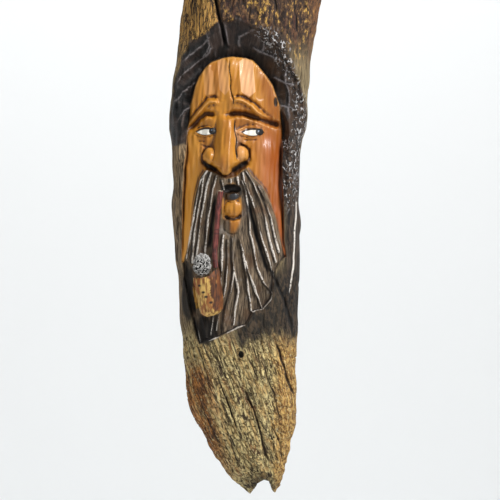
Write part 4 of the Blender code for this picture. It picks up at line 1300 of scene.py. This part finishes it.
def make_bowl():
    """The whittled twig stub: a ragged bark sleeve on its right half over peeled wood, and a hollow top."""
    bowl, flat = rolled_grid("twig_bowl", *BOWL_GRID)
    turn, share = flat[:, 0] * math.pi, (1 - flat[:, 1]) / 2
    rings = np.array(BOWL_RINGS)
    radius = np.interp(share, rings[:, 0], rings[:, 1])
    out_x, out_y = np.cos(turn), np.sin(turn)
    ragged = uneven(COARSE_TEAR, share, turn) + uneven(FINE_TEAR, share, turn)
    bark = smooth(BARK_FROM - BARK_EDGE, BARK_FROM + BARK_EDGE, out_x + ragged)
    bark = bark * smooth(*BARK_FOOT, share + 0.2 * ragged)
    facet = 0.03 * np.abs(np.sin(4.5 * turn)) * smooth(0.6, 0.9, share)
    fibre = uneven(PEELED_FIBRES, turn, share) + BARK_LUMPS[0] * bark * noise(turn, share, *BARK_LUMPS[1:])
    size = radius * (0.96 + BARK_STEP * bark * (1 - share) - facet + fibre)
    rise = BARK_RISE * np.maximum(out_x, 0) * (1 - share) ** 3 + FOOT_SLANT * out_x * share
    jagged = uneven(JAGGED, turn, share) * (1 - share) ** 6
    lift = rise * radius + jagged - JAGGED[0] * (1 - share) ** 6
    lean = np.stack([out_x * size, out_y * size, lift], axis=1)
    points = BOWL_TOP + share[:, None] * (BOWL_FOOT - BOWL_TOP) + lean
    mark = np.zeros(len(share))
    for nick_turn, nick_share in BOWL_NICKS:
        off = np.hypot((turn - nick_turn) / NICK_SIZE[0], (share - nick_share) / NICK_SIZE[1])
        mark = np.maximum(mark, 1 - smooth(0.4, 1, off))
    settle(bowl, "pipe_bowl", points, {"bark": bark, "mark": mark * (1 - bark)})
    seal(bowl)
    bm = bmesh.new()
    bm.from_mesh(bowl.data)
    ends = [face for face in bm.faces if len(face.verts) > 8]
    top = max(ends, key=lambda face: face.calc_center_median().z)
    bmesh.ops.inset_region(bm, faces=[top], thickness=DISH_WALL)
    bmesh.ops.translate(bm, verts=top.verts, vec=(0, 0, -DISH_DEPTH))
    bm.to_mesh(bowl.data)
    bm.free()
    bpy.ops.object.shade_smooth_by_angle(angle=BOWL_ANGLE)
    dress(bowl, bowl_finish(), "pipe_bowl")


def make_tuft():
    """Matted ash-grey fibres: a dark lumpy core, the painted shade deep in the tuft, under many curled ones.
    """
    rng = np.random.default_rng(SEED)
    bm = bmesh.new()
    bmesh.ops.create_icosphere(bm, subdivisions=4, radius=1)
    for vert in bm.verts:
        x, y, z = vert.co
        lump = 1 + 0.1 * math.sin(9 * x + 4 * y) * math.sin(8 * z + 3 * x) + 0.07 * math.sin(15 * y + 11 * z)
        vert.co = TUFT_CENTRE + TUFT_HALF * (TUFT_CORE * lump) * np.array((x, y, z))
    core = new_piece("ash_core", bm)
    bpy.ops.object.shade_smooth()
    # The core's near-black is painted shade between the fibres
    core_shade_fibre = fibre_finish("painted_shade_core_fibre", rgb(8, 8, 8), rgb(44, 42, 40))
    dress(core, core_shade_fibre, "ash_tuft")
    bm = bmesh.new()
    for number in range(FIBRES):
        way = rng.normal(size=3)
        way = way / np.linalg.norm(way)
        drift = np.cross(way, rng.normal(size=3))
        drift = drift / np.linalg.norm(drift)
        curl = rng.uniform(*FIBRE_CURL)
        bend = np.cross(way, drift) * rng.uniform(-1, 1)
        points = []
        for step in np.linspace(-0.5, 0.5, FIBRE_STEPS):
            spot = way + drift * step * curl + bend * step * step
            lift = TUFT_CORE + FIBRE_LIFT + FIBRE_SWAY * math.sin(step * 7 + number)
            points.append(TUFT_CENTRE + TUFT_HALF * min(lift, TUFT_REACH) * spot / np.linalg.norm(spot))
        swell = np.sin(math.pi * (np.arange(FIBRE_STEPS) + 0.5) / FIBRE_STEPS)
        tube(bm, np.array(points), rng.uniform(*FIBRE_RADIUS) * MM * (0.35 + 0.65 * swell), FIBRE_SIDES)
    fibres = new_piece("ash_fibres", bm)
    bpy.ops.object.shade_smooth()
    pale_fibre = fibre_finish("ash_grey_fibre", rgb(92, 90, 88), rgb(226, 224, 220))
    dress(fibres, pale_fibre, "ash_tuft")


def make_stage():
    """Pale floor and backdrop, soft lights with the main one at the upper right, and the camera."""
    scene = bpy.context.scene
    pale = bpy.data.materials.new("pale_studio")
    pale.use_nodes = True
    shader = pale.node_tree.nodes["Principled BSDF"]
    shader.inputs["Base Color"].default_value = rgb(236, 238, 239)
    shader.inputs["Roughness"].default_value = 0.9
    for name, place, turn in (("floor", (0, 0, FLOOR), 0), ("backdrop", (0, BACKDROP, 0), math.pi / 2)):
        bpy.ops.mesh.primitive_plane_add(size=STAGE_SIZE, location=place, rotation=(turn, 0, 0))
        sheet = bpy.context.active_object
        sheet.name = name
        sheet.data.materials.append(pale)
    world = bpy.data.worlds.new("studio")
    world.use_nodes = True
    background = world.node_tree.nodes["Background"]
    background.inputs["Color"].default_value = AMBIENT_COLOUR
    background.inputs["Strength"].default_value = AMBIENT_STRENGTH
    scene.world = world
    for name, place, target, size, power in LIGHTS:
        data = bpy.data.lights.new(name, "AREA")
        data.size, data.energy = size, power
        lamp = bpy.data.objects.new(name, data)
        lamp.location = place
        lamp.rotation_euler = (Vector(target) - Vector(place)).to_track_quat("-Z", "Y").to_euler()
        scene.collection.objects.link(lamp)
    data = bpy.data.cameras.new("camera")
    data.sensor_width = SENSOR
    data.lens = SENSOR * CAMERA_DISTANCE / PHOTO_SIDE
    data.clip_start, data.clip_end = CLIP
    camera = bpy.data.objects.new("camera", data)
    camera.location = PHOTO_CENTRE - Vector((0, CAMERA_DISTANCE, 0))
    camera.rotation_euler = (math.pi / 2, 0, 0)
    scene.collection.objects.link(camera)
    scene.camera = camera
    scene.view_settings.view_transform = "Standard"


make_stage()
make_limb()
make_stem()
make_bowl()
make_tuft()
